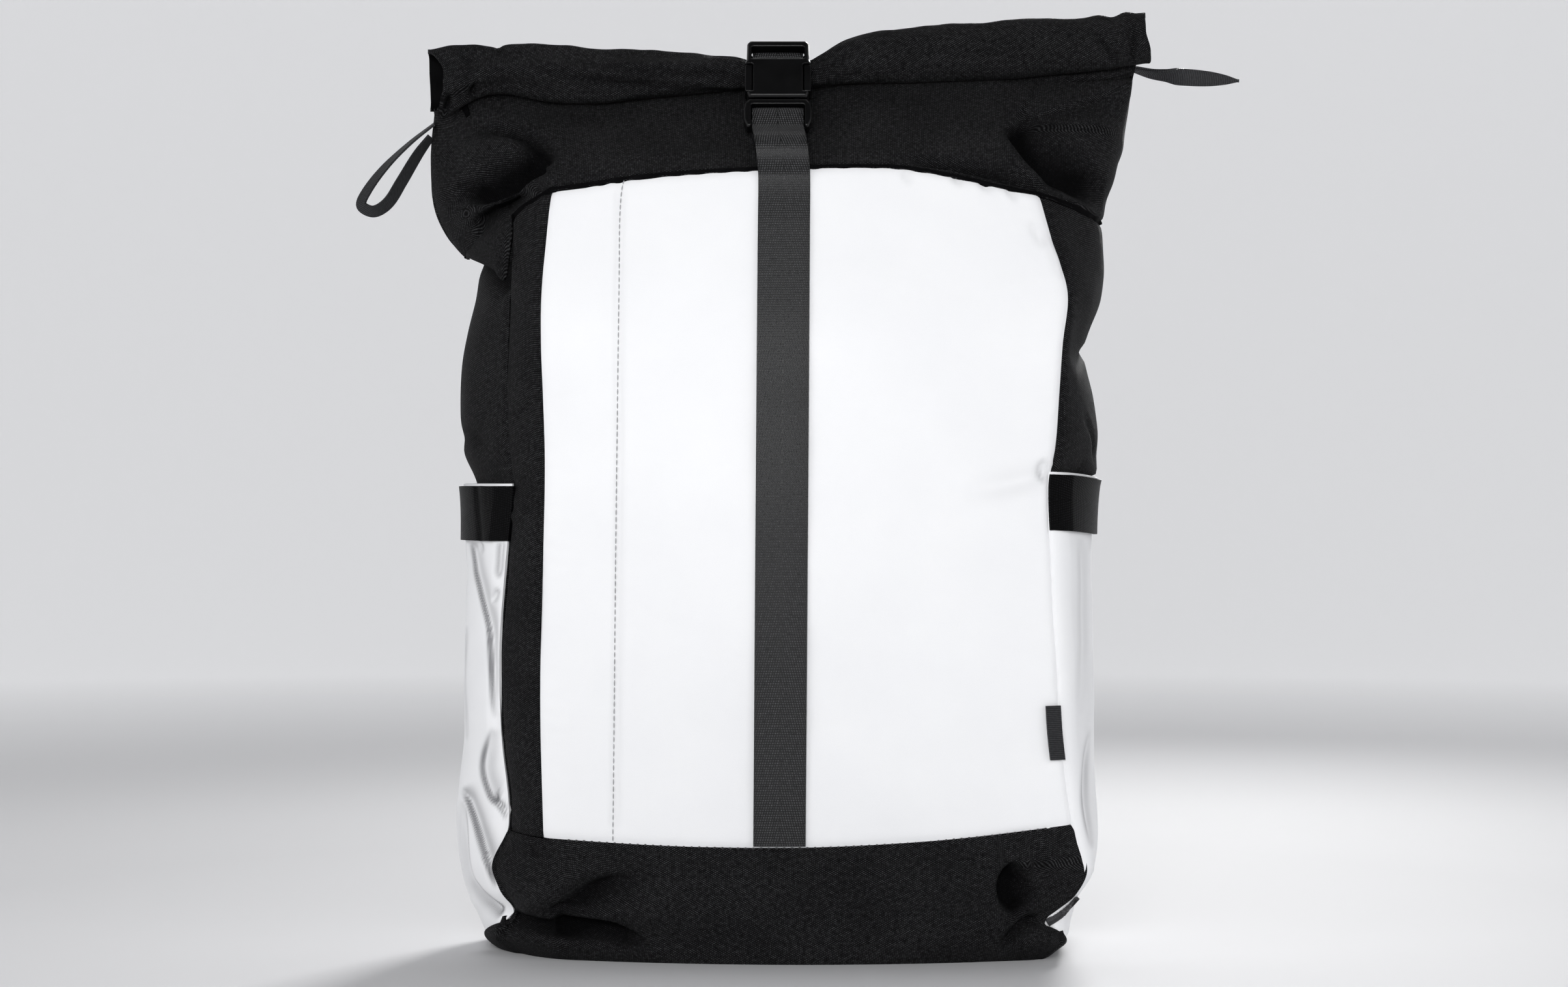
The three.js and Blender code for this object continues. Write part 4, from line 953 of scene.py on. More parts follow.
def panel(start, end, length, low, high, columns, rows):
    """A grid over part of the body between two seam lines."""
    at, share = grid(places(start, end, columns, length), np.linspace(0, 1, rows))
    bottom, top = low(at), high(at)
    return body(at, bottom + (top - bottom) * share)


def over_base(at):
    return np.full_like(at, BASE_CLEARANCE)


def over_boot(at):
    return boot_seam(at) + SEAM_INSET


def under_collar(at):
    return collar_seam(at) - SEAM_INSET


# Front panel
points = panel(FRONT, RIGHT, FRONT_LENGTH, over_boot, under_collar, columns=150, rows=190)
points = rumpled(points, height=1.1, size=70, seed=3)
points = rumpled(points, height=0.25, size=22, seed=4)
lift = folds_lift(points, FRONT_FOLDS)
# crease marks the folds' steep sides, which the reflective cloth greys as painted shade.
crease = np.clip(steepness(points, lift) * 0.5, 0, 0.5)
front_points = sewn(raised(points, lift), ALL_EDGES, dip=1.0, pucker=0.3, seed=2)
cloth_piece("front_panel", front_points, "reflective_cloth",
            crease)

# Strip
points = panel(STRIP, FRONT, STRIP_LENGTH, over_boot, under_collar, columns=24, rows=190)
points = rumpled(points, height=1.2, size=34, seed=5)
points = raised(points, folds_lift(points, STRIP_FOLDS))
points = sewn(points, ALL_EDGES, dip=1.2, pucker=0.4, seed=3)
cloth_piece("front_strip", points, "black_cloth")

# Gussets
for side, start, seed in (("left", LEFT, 6), ("right", RIGHT, 7)):
    points = panel(start, start + 1, GUSSET_LENGTH, over_base, under_collar, columns=64, rows=150)
    above = np.interp(points[..., 2], GUSSET_FREE[side], [0, 1])
    lift = folds_lift(points, GUSSET_FOLDS[side], (1, 2))
    # crease marks the valleys, which the black cloth darkens as painted shade.
    crease = part(-lift, 5.0)
    points = raised(points, (softness(points, seed, (30, 1.0), (12, 0.3)) + lift) * above)
    points = sewn(points, (1, 1, 0, 1), dip=1.2, pucker=0.4, seed=seed)
    cloth_piece("gusset_" + side, points, "black_cloth",
                crease)

# Back panel, with sewn channels
CHANNELS = (-96, -32, 32, 96)
CHANNEL_ENDS = (16, 358)
CHANNEL_HALF = 2.4
BACK_EDGE = 7.0
BACK_START = 1.5
BACK_CAP = 4.0


def back_held(spots):
    """Points of the back panel that don't swell: its inner face, its edges and its sewn channels."""
    x, y, z = spots.T
    inner = back_at(x, z)[:, 1] - y > BACK_PAD / 2 + BACK_START
    half = blend(SIDE_ROWS, "z", z)["back_half"]
    top = collar_seam(BACK + part(half - x, 2 * half))
    edge = (np.abs(x) > half - BACK_EDGE) | (z < BACK_EDGE) | (z > top - BACK_EDGE)
    gap = np.min([np.abs(x - channel) for channel in CHANNELS], axis=0)
    between = (z > CHANNEL_ENDS[0]) & (z < CHANNEL_ENDS[1])
    return inner | edge | ((gap < CHANNEL_HALF) & between)


def back_weave(spots):
    return spots[:, [0, 2]]


points = panel(BACK, LEFT, BACK_LENGTH, over_base, under_collar, columns=120, rows=150)
points = raised(points, -BACK_START * part(np.min(edge_distances(points), axis=0), BACK_EDGE))
points = sewn(points, ALL_EDGES, dip=1.0, pucker=0.3, seed=8)
back_panel = sheet("back_panel_cloth", points, BACK_PAD, black)
fill(back_panel, back_held, back_weave, BACK_CAP, QUILT_PRESSURE)
dress(back_panel, "black_cloth", "back_panel")

# Boot
BASE_ROWS = 14
BOOT_FRONT_ROWS = 64
# How far the boot's lower corners wrap round onto the sides
WRAP_ROWS = table("z left right", [
    (0, 0.25, 0.05), (6, 0.27, 0.06), (10, 0.22, 0.05), (14, 0.12, 0.02), (17, 0.05, -0.008),
    (19, 0.01, -0.02), (21.5, -0.004, -0.012), (25, -0.002, 0.006), (29, 0.003, 0.014), (34, 0.006, 0.014),
    (48, 0.008, 0.008), (58, 0.004, 0.004), (66, 0, 0.002), (90, 0, 0),
])
WRAP_SHARE = 0.3
# How far those wrapped ends stand off the sides, and the share of a side over which they start to
OFF_ROWS = table("z left right", [
    (0, 1.4, 1.0), (12, 4.0, 2.2), (22, 3.2, 2.4), (30, 3.0, 2.6), (36, 3.0, 2.6), (62, 2.6, 2.0), (72, 1, 1),
])
OFF_SHARE = 0.025
OFF_FROM = {"left": STRIP + 0.01, "right": RIGHT - 0.005}
# The boot's folds fade below this height
FLOOR_FADE = 6


def boot_place(at, z):
    """A place on the boot, with its two ends drawn out round the corners."""
    wrap = blend(WRAP_ROWS, "z", z)
    left = part(STRIP + WRAP_SHARE - at, WRAP_SHARE)
    right = part(at - RIGHT + WRAP_SHARE / 2, WRAP_SHARE / 2)
    return at - left * wrap["left"] + right * wrap["right"]


def base_side(end, corner, edge_point, back):
    """A point on one side of the base, between the boot's wrapped end and a back corner."""
    return outline(end + back * (corner - end), 0.0) + (edge_point - outline(end, 0.0)) * (1 - back)


at = steps(STRIP, (FRONT, 36), (RIGHT, 170))
at[0] += SEAM_INSET / STRIP_LENGTH
at[-1] -= SEAM_INSET / FRONT_LENGTH
wide, down = grid(at, np.linspace(0, 1, BOOT_FRONT_ROWS))
z = (boot_seam(wide) - SEAM_INSET) * (1 - down)
around = boot_place(wide, z)
off = blend(OFF_ROWS, "z", z)
stand_off = part(OFF_FROM["left"] - around, OFF_SHARE) * off["left"]
stand_off += part(around - OFF_FROM["right"], OFF_SHARE) * off["right"]
front_part = off_body(around, z, stand_off)

# The base is filled in between the front edge, the two sides and the back
edge = front_part[-1, :, :2]
ends = boot_place(at[[0, -1]], np.zeros(2))
r = ((edge[:, 0] - edge[0, 0]) / (edge[-1, 0] - edge[0, 0]))[:, None]
base_part = []
for back in np.linspace(0, 1, BASE_ROWS)[1:]:
    flat = edge * (1 - back) + outline(LEFT - r[:, 0], 0.0) * back
    flat = flat + base_side(ends[0], LEFT - SIDES, edge[0], back) * (1 - r)
    flat = flat + base_side(ends[1], BACK, edge[-1], back) * r
    flat = flat - edge[0] * (1 - r) * (1 - back) - edge[-1] * r * (1 - back)
    flat = flat - outline(BACK, 0.0) * r * back - outline(LEFT, 0.0) * (1 - r) * back
    base_part.append(np.concatenate([flat, np.zeros((len(at), 1))], 1))
front_part = front_part[:, ::-1]
base_part = np.array(base_part)[:, ::-1]

lift = folds_lift(front_part, BOOT_FOLDS)
over_floor = part(front_part[..., 2], FLOOR_FADE)
# crease marks the valleys, which the black cloth darkens as painted shade.
crease = np.concatenate([part(-lift, 6.0) * over_floor, np.zeros(base_part.shape[:-1])])
folded = rumpled(front_part, height=1.0, size=40, seed=9) + normals(front_part) * lift[..., None]
front_part = front_part + (folded - front_part) * over_floor[..., None]
front_part = sewn(front_part, (0, 0, 1, 0), dip=0.9, pucker=0.3, seed=10)
front_part[..., 2] = np.maximum(front_part[..., 2], 0.0)
points = np.concatenate([front_part, base_part])
cloth_piece("boot", points, "black_cloth", crease, BOOT_CLOTH)
boot_points = front_part

# Collar
COLLAR_PLACES = {
    "front": steps(COLLAR_ENDS[0], (STRIP, 40), (FRONT, 24), (RIGHT, 170), (COLLAR_ENDS[1], 40)),
    "back": steps(COLLAR_ENDS[1], (BACK, 24), (LEFT, 90), (COLLAR_ENDS[2], 24)),
}
COLLAR_ROWS = 72
# The collar's halves stop short of each other, and their folds fade towards the roll and the seam
COLLAR_SHORT = 0.004
COLLAR_FADE = 0.12
SEAM_FADE = 0.03
FLAP_STEPS = 9
FLAP_SLOPE = 0.07
FRONT_FLAP = 0.25


def flap(around):
    """The rows of the collar that hang below its seam, from the lowest up."""
    at, share = grid(around, np.linspace(1, 0, FLAP_STEPS)[:-1])
    z = collar_seam(at) - blend(FLAP_ROWS, "at", at)["drop"] * share
    lift = FLAP_LIFT * np.where(at < STRIP, part(STRIP - at, FLAP_SLOPE), FRONT_FLAP)
    lift = lift * np.clip(share * 3, 0, 1)
    lift = lift * part(at - COLLAR_ENDS[0], COLLAR_FADE) * part(COLLAR_ENDS[1] - at, COLLAR_FADE)
    return off_body(at, z, lift + collar_stand(at))


for side, seed in (("front", 11), ("back", 12)):
    around = COLLAR_PLACES[side]
    around[0] += COLLAR_SHORT
    around[-1] -= COLLAR_SHORT
    at, v = grid(around, np.linspace(0, 1, COLLAR_ROWS))
    points = collar_face(at, v)
    free = part(1 - v, COLLAR_FADE) * np.where(at < STRIP, 1.0, part(v, SEAM_FADE))
    lift = folds_lift(points, COLLAR_FOLDS) if side == "front" else np.zeros(at.shape)
    # crease marks dents and valleys, which the black cloth darkens as painted shade.
    crease = part(dent_depth(points) * 0.4 - lift, 8.0) * free
    points = raised(points, (softness(points, seed, (38, 1.6), (14, 0.4)) + lift) * free)
    if side == "front":
        hanging = flap(around)
        points = np.concatenate([hanging, points])
        crease = np.concatenate([np.zeros(hanging.shape[:-1]), crease])
    points = sewn(points, (0, 0, 1, 0), dip=0.5, pucker=0.15, pitch=12, seed=seed)
    cloth_piece("collar_" + side, points, "black_cloth",
                crease)

# Roll: only its outer turn has waves and folds, and none under the strap
ROLL_COLUMNS = 230
OUTER_TURN = 364
OUTER_FADE = 40
STRAP_CLEAR = 17
across, turn = grid(np.linspace(0, 1, ROLL_COLUMNS), steps(46, (366, 91), (600, 25)))
ends = blend(ROLL_END_ROWS, "degrees", turn)
x = ends["right"] + (ends["left"] - ends["right"]) * across
row = blend(ROLL_ROWS, "x", x)
size = blend(ROLL_SIZE_ROWS, "degrees", turn)["size"]
angle = np.radians(turn)
middle = (row["bottom"] + row["top"]) / 2
half_height = (row["top"] - row["bottom"]) / 2
points = np.stack([x, ROLL_CENTRE + row["half"] * size * np.sin(angle),
                   middle - half_height * size * np.cos(angle)], -1)
long_waves = np.sin(angle * 5 + x / 37) * 0.9 * part(-x, 40)
gathers = np.sin(angle * 7 + np.sin(x / 9.0)) * 0.8 * np.exp(-((np.abs(x) - 22) / 16) ** 2)
end_gathers = np.sin(x / 2.6 + angle * 1.2) * 1.2 * np.exp(-(((x - 168) / 9) ** 2))
front_facing = np.clip(-normals(points)[..., 1] * 2, 0, 1)
creases = folds_lift(points, ROLL_FOLDS) * front_facing
lift = long_waves + gathers + end_gathers + softness(points, 13, (26, 1.5), (9, 0.5)) + creases
outer = part(OUTER_TURN - turn, OUTER_FADE)
points = raised(points, lift * outer * (1 - np.exp(-((x / STRAP_CLEAR) ** 6))))
# The roll's fold valleys are darkened as painted shade.
cloth_piece("rolled_top", points, "black_cloth",
            part(-creases, 4.0) * outer, ROLLED_CLOTH, piece="roll")

# Pockets and their bands
POCKETS = {
    "left": {"at": LEFT, "mouth": 231.4, "band": (203.5, 230.2), "tilt": 0, "seed": 15,
             "folds": LEFT_POCKET_FOLDS},
    "right": {"at": RIGHT, "mouth": 237.0, "band": (209, 235.8), "tilt": 2.5, "seed": 16,
              "folds": RIGHT_POCKET_FOLDS},
}
POCKET_FULLNESS = table("z left right", [
    (0, 2, 0.3), (12, 4, 0.3), (20, 5.5, 1.3), (33, 7.5, 0.8), (46, 8, 4.2), (62, 8, 7), (120, 7.5, 7.5),
    (190, 7, 7), (240, 4, 4),
])
# Height of the pocket's foot above the base near the front corner, where the boot covers it
FOOT_ROWS = table("from_corner left right", [
    (-0.03, 23, 16), (0, 22, 13), (0.03, 17.5, 11), (0.06, 15.5, 11), (0.13, 12, 11), (0.22, 8, 10),
    (0.3, 5, 10), (1.1, 5, 8),
])
POCKET_FOOT = 7
POCKET_FOOT_RISE = 16.0
POCKET_SIDE = 0.22
POCKET_OFF = 0.25
POCKET_TUCK = 1.8
TUCK_SHARE = 0.01
POCKET_COLUMNS = 100
POCKET_STEPS = 170
# The right pocket laps round the front corner, narrowing between two heights
POCKET_LAP = 0.03
LAP_END = 0.003
LAP_COLUMNS = 10
LAP_HEIGHTS = (48, 62)
LAP_SHARES = (1, 0.25)
TILT_SHARE = 0.4
FRONT_HALF = 0.5
BAND_LAP = {"left": 0.045, "right": 0.005}
BAND_OFF = 0.5
BAND_ROWS = 10


def lifted(at, z, lift, side, tuck=POCKET_TUCK):
    """A layer lifted off a gusset, fullest in the middle and sewn down at its sides and foot."""
    start = POCKETS[side]["at"]
    across = np.sin(math.pi * np.clip(at - start, 0, 1))
    bulge = blend(POCKET_FULLNESS, "z", z)[side]
    height = lift * part(across, POCKET_SIDE) + bulge * across**0.8
    height = height * part(z - POCKET_FOOT, POCKET_FOOT_RISE) + POCKET_OFF
    return off_body(at, z, height - part(start - at, TUCK_SHARE) * (tuck + POCKET_OFF))


for side, row in POCKETS.items():
    band_foot = row["band"][0]
    around = places(row["at"], row["at"] + 1, POCKET_COLUMNS, GUSSET_LENGTH)
    from_corner = LEFT + 1 - around
    if side == "right":
        lap = np.linspace(RIGHT - POCKET_LAP, RIGHT - LAP_END, LAP_COLUMNS)
        around = np.concatenate([lap, around])
        from_corner = around - RIGHT
    at, share = grid(around, np.linspace(0, 1, POCKET_STEPS))
    foot = blend(FOOT_ROWS, "from_corner", from_corner)[side]
    z = foot + (row["mouth"] - row["tilt"] * part(from_corner, TILT_SHARE) - foot) * share
    if side == "right":
        at = np.where(at < RIGHT, RIGHT - (RIGHT - at) * np.interp(z, LAP_HEIGHTS, LAP_SHARES), at)
    points = lifted(at, z, LAYER_GAP + CLOTH, side)
    left_gap, right_gap, foot_gap, _ = edge_distances(points)
    free = part(band_foot - z, 2) * part(left_gap, 3) * part(right_gap, 3) * part(foot_gap, 4)
    soft = softness(points, row["seed"], (40, 1.2), (15, 0.3)) * part(band_foot - z, 12)
    front_half = part(FRONT_HALF - from_corner, 0.1)
    lift = folds_lift(points, row["folds"]) * front_half
    lift = lift + folds_lift(points, SIDE_FOLDS, (1, 2)) * (1 - front_half)
    # crease marks the folds' steep sides, which the reflective cloth greys as painted shade.
    crease = np.clip(steepness(points, lift) * 1.5, 0, 1) * free
    pocket_points = raised(points, (soft + lift) * free)
    cloth_piece("pocket_" + side, pocket_points, "reflective_cloth",
                crease)

    around = around[around > row["at"]]
    if side == "right":
        around = np.concatenate([[RIGHT - BAND_LAP[side]], around])
    else:
        around = np.concatenate([around, [LEFT + 1 + BAND_LAP[side]]])
    at, z = grid(around, np.linspace(*row["band"], BAND_ROWS))
    z = z - row["tilt"] * part(around - row["at"], TILT_SHARE)
    points = lifted(at, z, LAYER_GAP * 2 + CLOTH + WEBBING, side, tuck=-POCKET_OFF)
    points = points + level_out(at, z) * BAND_OFF
    if side == "left":
        points = raised(points, folds_lift(points, BAND_FOLDS) * (at > LEFT + FRONT_HALF))
    band = sheet("pocket_band_" + side + "_webbing", points, WEBBING, shaded_band_web, uv_turn=True)
    dress(band, "webbing", "pocket_band_" + side)

# Grey tape along the foot of the right pocket, beside the boot's corner
FOOT_TAPE = np.array([(129.6, 19.2), (136.3, 23.5), (140.7, 27.2), (144.4, 31.5)])
FOOT_TAPE_WIDTH = 3.6
FOOT_TAPE_STEP = 5
CORNER_COLUMNS = 24
along = unit(np.gradient(FOOT_TAPE, axis=0))
across = np.stack([along[:, 1], -along[:, 0]], -1)
strands = []
for off in np.linspace(-0.5, 0.5, 7) * FOOT_TAPE_WIDTH:
    line, out = on_grid(pocket_points[:, :CORNER_COLUMNS], FOOT_TAPE + across * off)
    strands.append((line + out * LAYER_GAP)[::FOOT_TAPE_STEP])
dress(sheet("pocket_foot_tape", np.stack(strands, 1), RIBBON / 2, grey_tape), "ribbon")

# Bare tab in the right seam
TAB = {"width": 7.5, "low": 99, "high": 125, "curl": 1.2}
u, z = grid(np.linspace(0, 1, 10), np.linspace(TAB["low"], TAB["high"], 30))
at = RIGHT - (TAB["width"] * (1 - u) + 1) / FRONT_LENGTH
points = off_body(at, z, LAYER_GAP + RIBBON + TAB["curl"] * (1 - u) ** 2)
dress(sheet("seam_tab_cloth", points, RIBBON, tape), "ribbon", "seam_tab")

# Webbing through the buckle, as paths by the buckle's own depth and length
BUCKLE = {"across": -0.8, "depth": -26.0, "height": 428.3, "lean": math.radians(33)}
LOWER_WEBBING = [(-2.6, -30), (-2.45, -24), (-2.4, -19.5), (-1.6, -17.9), (0.5, -17.35), (2.7, -17.9),
                 (3.5, -19.5), (3.6, -24), (3.4, -31), (2.2, -37)]
UPPER_WEBBING = [(5.9, 2), (5.9, 8), (5.6, 12), (3.6, 13.4), (0, 13.4), (-1.5, 14.5), (-1.6, 15.8),
                 (-1.5, 17.1), (0, 18.3), (2.2, 19), (2.9, 21), (3.1, 24.5)]
OVER_ROLL = [(BUCKLE["across"], y, z) for y, z in ((-4, 446.8), (3, 444), (8.6, 438.5))]
FREE_RUN = [(1.7, -59.6, 388), (0.9, -59.2, 394.5), (0, -55, 400)]
STRAP_LOW, STRAP_HIGH = 58, 379
STRAP_DRIFT = 2.3
WEB_OFF = LAYER_GAP + WEBBING / 2
WEB_CROWN = 0.25
WEB_COLUMNS = 13
COLLAR_MIDDLE = 7.5
COLLAR_SLACK = 0.9


def from_buckle(rows):
    """Points given in the buckle's own depth and length, in the bag's frame."""
    deep, long = np.array(rows, float).T
    cos, sin = math.cos(BUCKLE["lean"]), math.sin(BUCKLE["lean"])
    y = BUCKLE["depth"] + deep * cos + long * sin
    z = BUCKLE["height"] - deep * sin + long * cos
    return np.stack([np.full_like(y, BUCKLE["across"]), y, z], -1)


def middle_webbing(node, paths, count):
    """Flat webbing of full width along joined paths in the upright middle plane."""
    line = curve(np.concatenate(paths), count, even=True)
    along = unit(np.gradient(line, axis=0))
    side = unit(np.stack([np.zeros(count), -along[:, 2], along[:, 1]], -1))
    u = np.linspace(0, 1, WEB_COLUMNS)
    rounding = WEB_CROWN * (1 - np.abs(2 * u - 1) ** 4)
    points = line[:, None] + side[:, None] * (WEBBING / 2 - WEB_CROWN + rounding)[None, :, None]
    points = points + np.stack([(u - 0.5) * WEBBING_WIDTH, 0 * u, 0 * u], -1)[None]
    out = np.repeat(side[:, None], WEB_COLUMNS, 1)
    dress(sheet(node + "_webbing", points, WEBBING - WEB_CROWN, web, out=out), "webbing", node)


z = np.linspace(STRAP_LOW, STRAP_HIGH, 15)
drift = STRAP_DRIFT * (z - STRAP_LOW) / (STRAP_HIGH - STRAP_LOW)
sewn_run = np.stack([drift, front_at(0 * z, z)[:, 1] - WEB_OFF, z], -1)
middle_webbing("centre_strap", [sewn_run, FREE_RUN, from_buckle(LOWER_WEBBING)], 420)

v = np.linspace(0.82, 0.06, 6)
along = collar_face(COLLAR_MIDDLE + SMALL, v) - collar_face(COLLAR_MIDDLE - SMALL, v)
up = collar_face(COLLAR_MIDDLE, v + SMALL) - collar_face(COLLAR_MIDDLE, v - SMALL)
over_collar = collar_face(COLLAR_MIDDLE, v) + unit(np.cross(along, up)) * (WEB_OFF + COLLAR_SLACK)
over_collar[:, 0] = BUCKLE["across"]
z = np.array([366.0, 352.0])
down_back = np.stack([np.full(2, BUCKLE["across"]), back_at(0 * z, z)[:, 1] + WEB_OFF, z], -1)
middle_webbing("upper_strap", [from_buckle(UPPER_WEBBING), OVER_ROLL, over_collar, down_back], 200)

# Buckle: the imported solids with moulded, rounded edges
BUCKLE_VOXEL = 0.45
BUCKLE_ROUNDS = 4
for node in ("buckle_socket", "buckle_plug"):
    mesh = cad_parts[node].data.copy()
    mesh.name = node + "_plastic"
    made = bpy.data.objects.new(mesh.name, mesh)
    bpy.context.scene.collection.objects.link(made)
    even_voxels(made, BUCKLE_VOXEL)
    smooth = made.modifiers.new("soft", "SMOOTH")
    smooth.factor = 0.5
    smooth.iterations = BUCKLE_ROUNDS
    final_mesh(made, plastic)
    dress(made, "buckle_plastic", node)

# Ribbon loops: x and z of the middle line, and how far the ribbon turns towards the view
LEFT_LOOP = [(-172.9, 411.5, 15), (-185, 402, 20), (-197.4, 390, 28), (-206.5, 378, 40), (-209.4, 370.5, 50),
             (-203, 367.2, 55), (-195.6, 371.5, 55), (-188.8, 382, 50), (-180.6, 395.5, 40),
             (-173.9, 404.5, 20)]
RIGHT_LOOP = [(177.6, 438.4, 5), (186, 436.2, 40), (193, 435.4, 80), (204, 434.4, 84), (228.5, 432.8, 80)]
RIGHT_LOOP_HALF_GAP = 1.2
RIBBON_COLUMNS = 6
LEAF_ROWS = table("share width", [(0, 5), (0.3, 6), (0.42, 8.2), (0.7, 7.6), (0.88, 5), (1, 1.6)])


def ribbon_line(rows, count):
    """A ribbon's middle line, with its direction and the direction across it."""
    line = curve([(x, 0, z) for x, z, turn in rows], count, even=True)
    along = unit(np.gradient(line, axis=0))
    in_view = unit(np.stack([along[:, 2], np.zeros(count), -along[:, 0]], -1))
    angle = np.radians(curve([(turn,) for x, z, turn in rows], count))
    return line, along, np.array([0.0, 1.0, 0.0]) * np.cos(angle) + in_view * np.sin(angle)


def ribbon_loop(side, line, across, widths):
    """A ribbon about a line, with its width along the line."""
    u = np.linspace(-0.5, 0.5, RIBBON_COLUMNS)
    points = line[:, None] + across[:, None] * u[None, :, None] * widths[:, None, None]
    node = "ribbon_loop_" + side
    dress(sheet(node + "_tape", points, RIBBON, tape), "ribbon", node)


line, along, across = ribbon_line(LEFT_LOOP, 120)
ribbon_loop("left", line, across, np.full(len(line), RIBBON_WIDTH))

line, along, across = ribbon_line(RIGHT_LOOP, 70)
side = unit(np.cross(across, along)) * RIGHT_LOOP_HALF_GAP
turn = np.radians(np.linspace(-90, 90, 9)[1:-1])[:, None]
tip = line[-1] + along[-1] * RIGHT_LOOP_HALF_GAP * np.cos(turn) + side[-1] * np.sin(turn)
leaf = blend(LEAF_ROWS, "share", np.linspace(0, 1, len(line)))["width"]
ribbon_loop("right", np.concatenate([line - side, tip, (line + side)[::-1]]),
            -np.concatenate([across, np.repeat(across[-1:], len(tip), 0), across[::-1]]),
            np.concatenate([leaf, np.full(len(tip), leaf[-1]), leaf[::-1]]))

# Shoulder straps: distance from the middle, distance off the back, height and width
PAD_ROWS = [(44, 0.6, 362, 54), (44.5, 12, 363, 56), (47, 26, 353, 60), (53, 36, 328, 62), (62, 40, 284, 62),
            (73, 38, 234, 60), (86, 31, 184, 54), (98, 22, 138, 34)]
LOWER_STRAP = [(98.4, 17.4, 137, 25), (106, 13, 106, 25), (115, 7.4, 68, 25), (120, 4, 46, 25),
               (121.5, 3.6, 36, 25)]
PAD_COLUMNS = 24
PAD_START = 1.2
PAD_THIN = 6.5
PAD_CAP = 5.0
PAD_HELD = 9.0
PAD_SEAM = 7.0
PAD_SEAM_DEPTH = 1.4
PAD_SEAM_WIDTH = 2.2
PAD_EDGE_DROP = 2.5


def strap_grid(rows, hand, columns, count):
    """The outer face of a strap down the back."""
    x, off, z, width = np.array(rows, float).T
    middle = back_at(hand * x, z)
    middle[:, 1] += off
    points = np.repeat(curve(middle, count, even=True)[:, None], columns, 1)
    points[..., 0] += np.linspace(-0.5, 0.5, columns) * curve(width[:, None], count)
    return points


def strap_places(spots, points):
    """Where spots lie on a strap: across, along and how deep, with its half width and direction out there."""
    line = points.mean(axis=1)
    ahead = unit(np.gradient(line, axis=0))
    out = normals(points)[:, points.shape[1] // 2]
    nearest = np.argmin(np.linalg.norm(spots[:, None] - line[None], axis=-1), axis=1)
    away = spots - line[nearest]
    along = run_along(line)[nearest] + np.sum(away * ahead[nearest], axis=1)
    return {"across": away[:, 0], "along": along, "depth": -np.sum(away * out[nearest], axis=1),
            "half": (points[nearest, -1, 0] - points[nearest, 0, 0]) / 2, "out": out[nearest]}


def pad_held(spots):
    """A strap pad is held at both of its ends."""
    along = strap_places(spots, pad_points)["along"]
    return (along < PAD_HELD) | (along > run_along(pad_points.mean(axis=1))[-1] - PAD_HELD)


def pad_weave(spots):
    """Cloth coordinates on a strap pad, across its faces and round its rim."""
    place = strap_places(spots, pad_points)
    rim = np.minimum(place["depth"] - PAD_START, PAD_START + PAD_THIN - place["depth"])
    across = place["across"] + np.sign(place["across"]) * np.clip(rim, 0, PAD_THIN)
    return np.stack([across, place["along"]], -1)


def sew_pad(pad, points):
    """Draws a pad in along a seam near both of its edges."""
    spots = mesh_points(pad.data) / MM
    out = mesh_points(pad.data, "normal")
    place = strap_places(spots, points)
    gap = np.abs(place["half"] - PAD_SEAM - np.abs(place["across"]))
    facing = np.clip(np.sum(out * place["out"], axis=1), 0, 1)
    drawn = PAD_SEAM_DEPTH * facing * np.exp(-((gap / PAD_SEAM_WIDTH) ** 2))
    pad.data.vertices.foreach_set("co", ((spots - out * drawn[:, None]) * MM).ravel())
    pad.data.update()


pads = {}
for side, hand in (("left", -1), ("right", 1)):
    pad_points = strap_grid(PAD_ROWS, hand, PAD_COLUMNS, 90)
    out = normals(pad_points)
    drop = (PAD_START + PAD_EDGE_DROP * np.abs(np.linspace(-1, 1, PAD_COLUMNS)) ** 4)[None, :, None]
    pad = sheet("shoulder_strap_" + side + "_pad", pad_points - out * drop, PAD_THIN, black, out=out)
    fill(pad, pad_held, pad_weave, PAD_CAP)
    sew_pad(pad, pad_points)
    dress(pad, "black_cloth", "shoulder_strap_" + side)
    pads[side] = (pad, pad_points)
    lower = sheet("strap_webbing_" + side + "_run", strap_grid(LOWER_STRAP, hand, 8, 60), WEBBING, web)
    dress(lower, "webbing", "strap_webbing_" + side)

# Stitches
STITCH_RINGS = 5
STITCH_SIDES = 6
PANEL_STITCHES = [(-74.7, 379), (-76.2, 372), (-77, 356), (-77, 317), (-78.2, 200), (-79.8, 59.5)]
# The part of a pad's seam, and of the boot's upper edge from the right, that shows stitches
PAD_STITCHED = slice(5, -4)
BOOT_STITCHED = slice(-42, 6, -1)
CHANNEL_STEPS = 160
CAST_FROM = 30


def laid_on(made, line, out):
    """A line dropped onto a piece from outside, with the directions out of the piece there."""
    corners = [tuple(face.vertices) for face in made.data.polygons]
    tree = BVHTree.FromPolygons(mesh_points(made.data).tolist(), corners)
    hits = [tree.ray_cast(Vector((p + o * CAST_FROM) * MM), Vector(-o))[:2] for p, o in zip(line, out)]
    hits = [hit for hit in hits if hit[0] is not None]
    return np.array([hit[0] for hit in hits]) / MM, np.array([hit[1] for hit in hits])


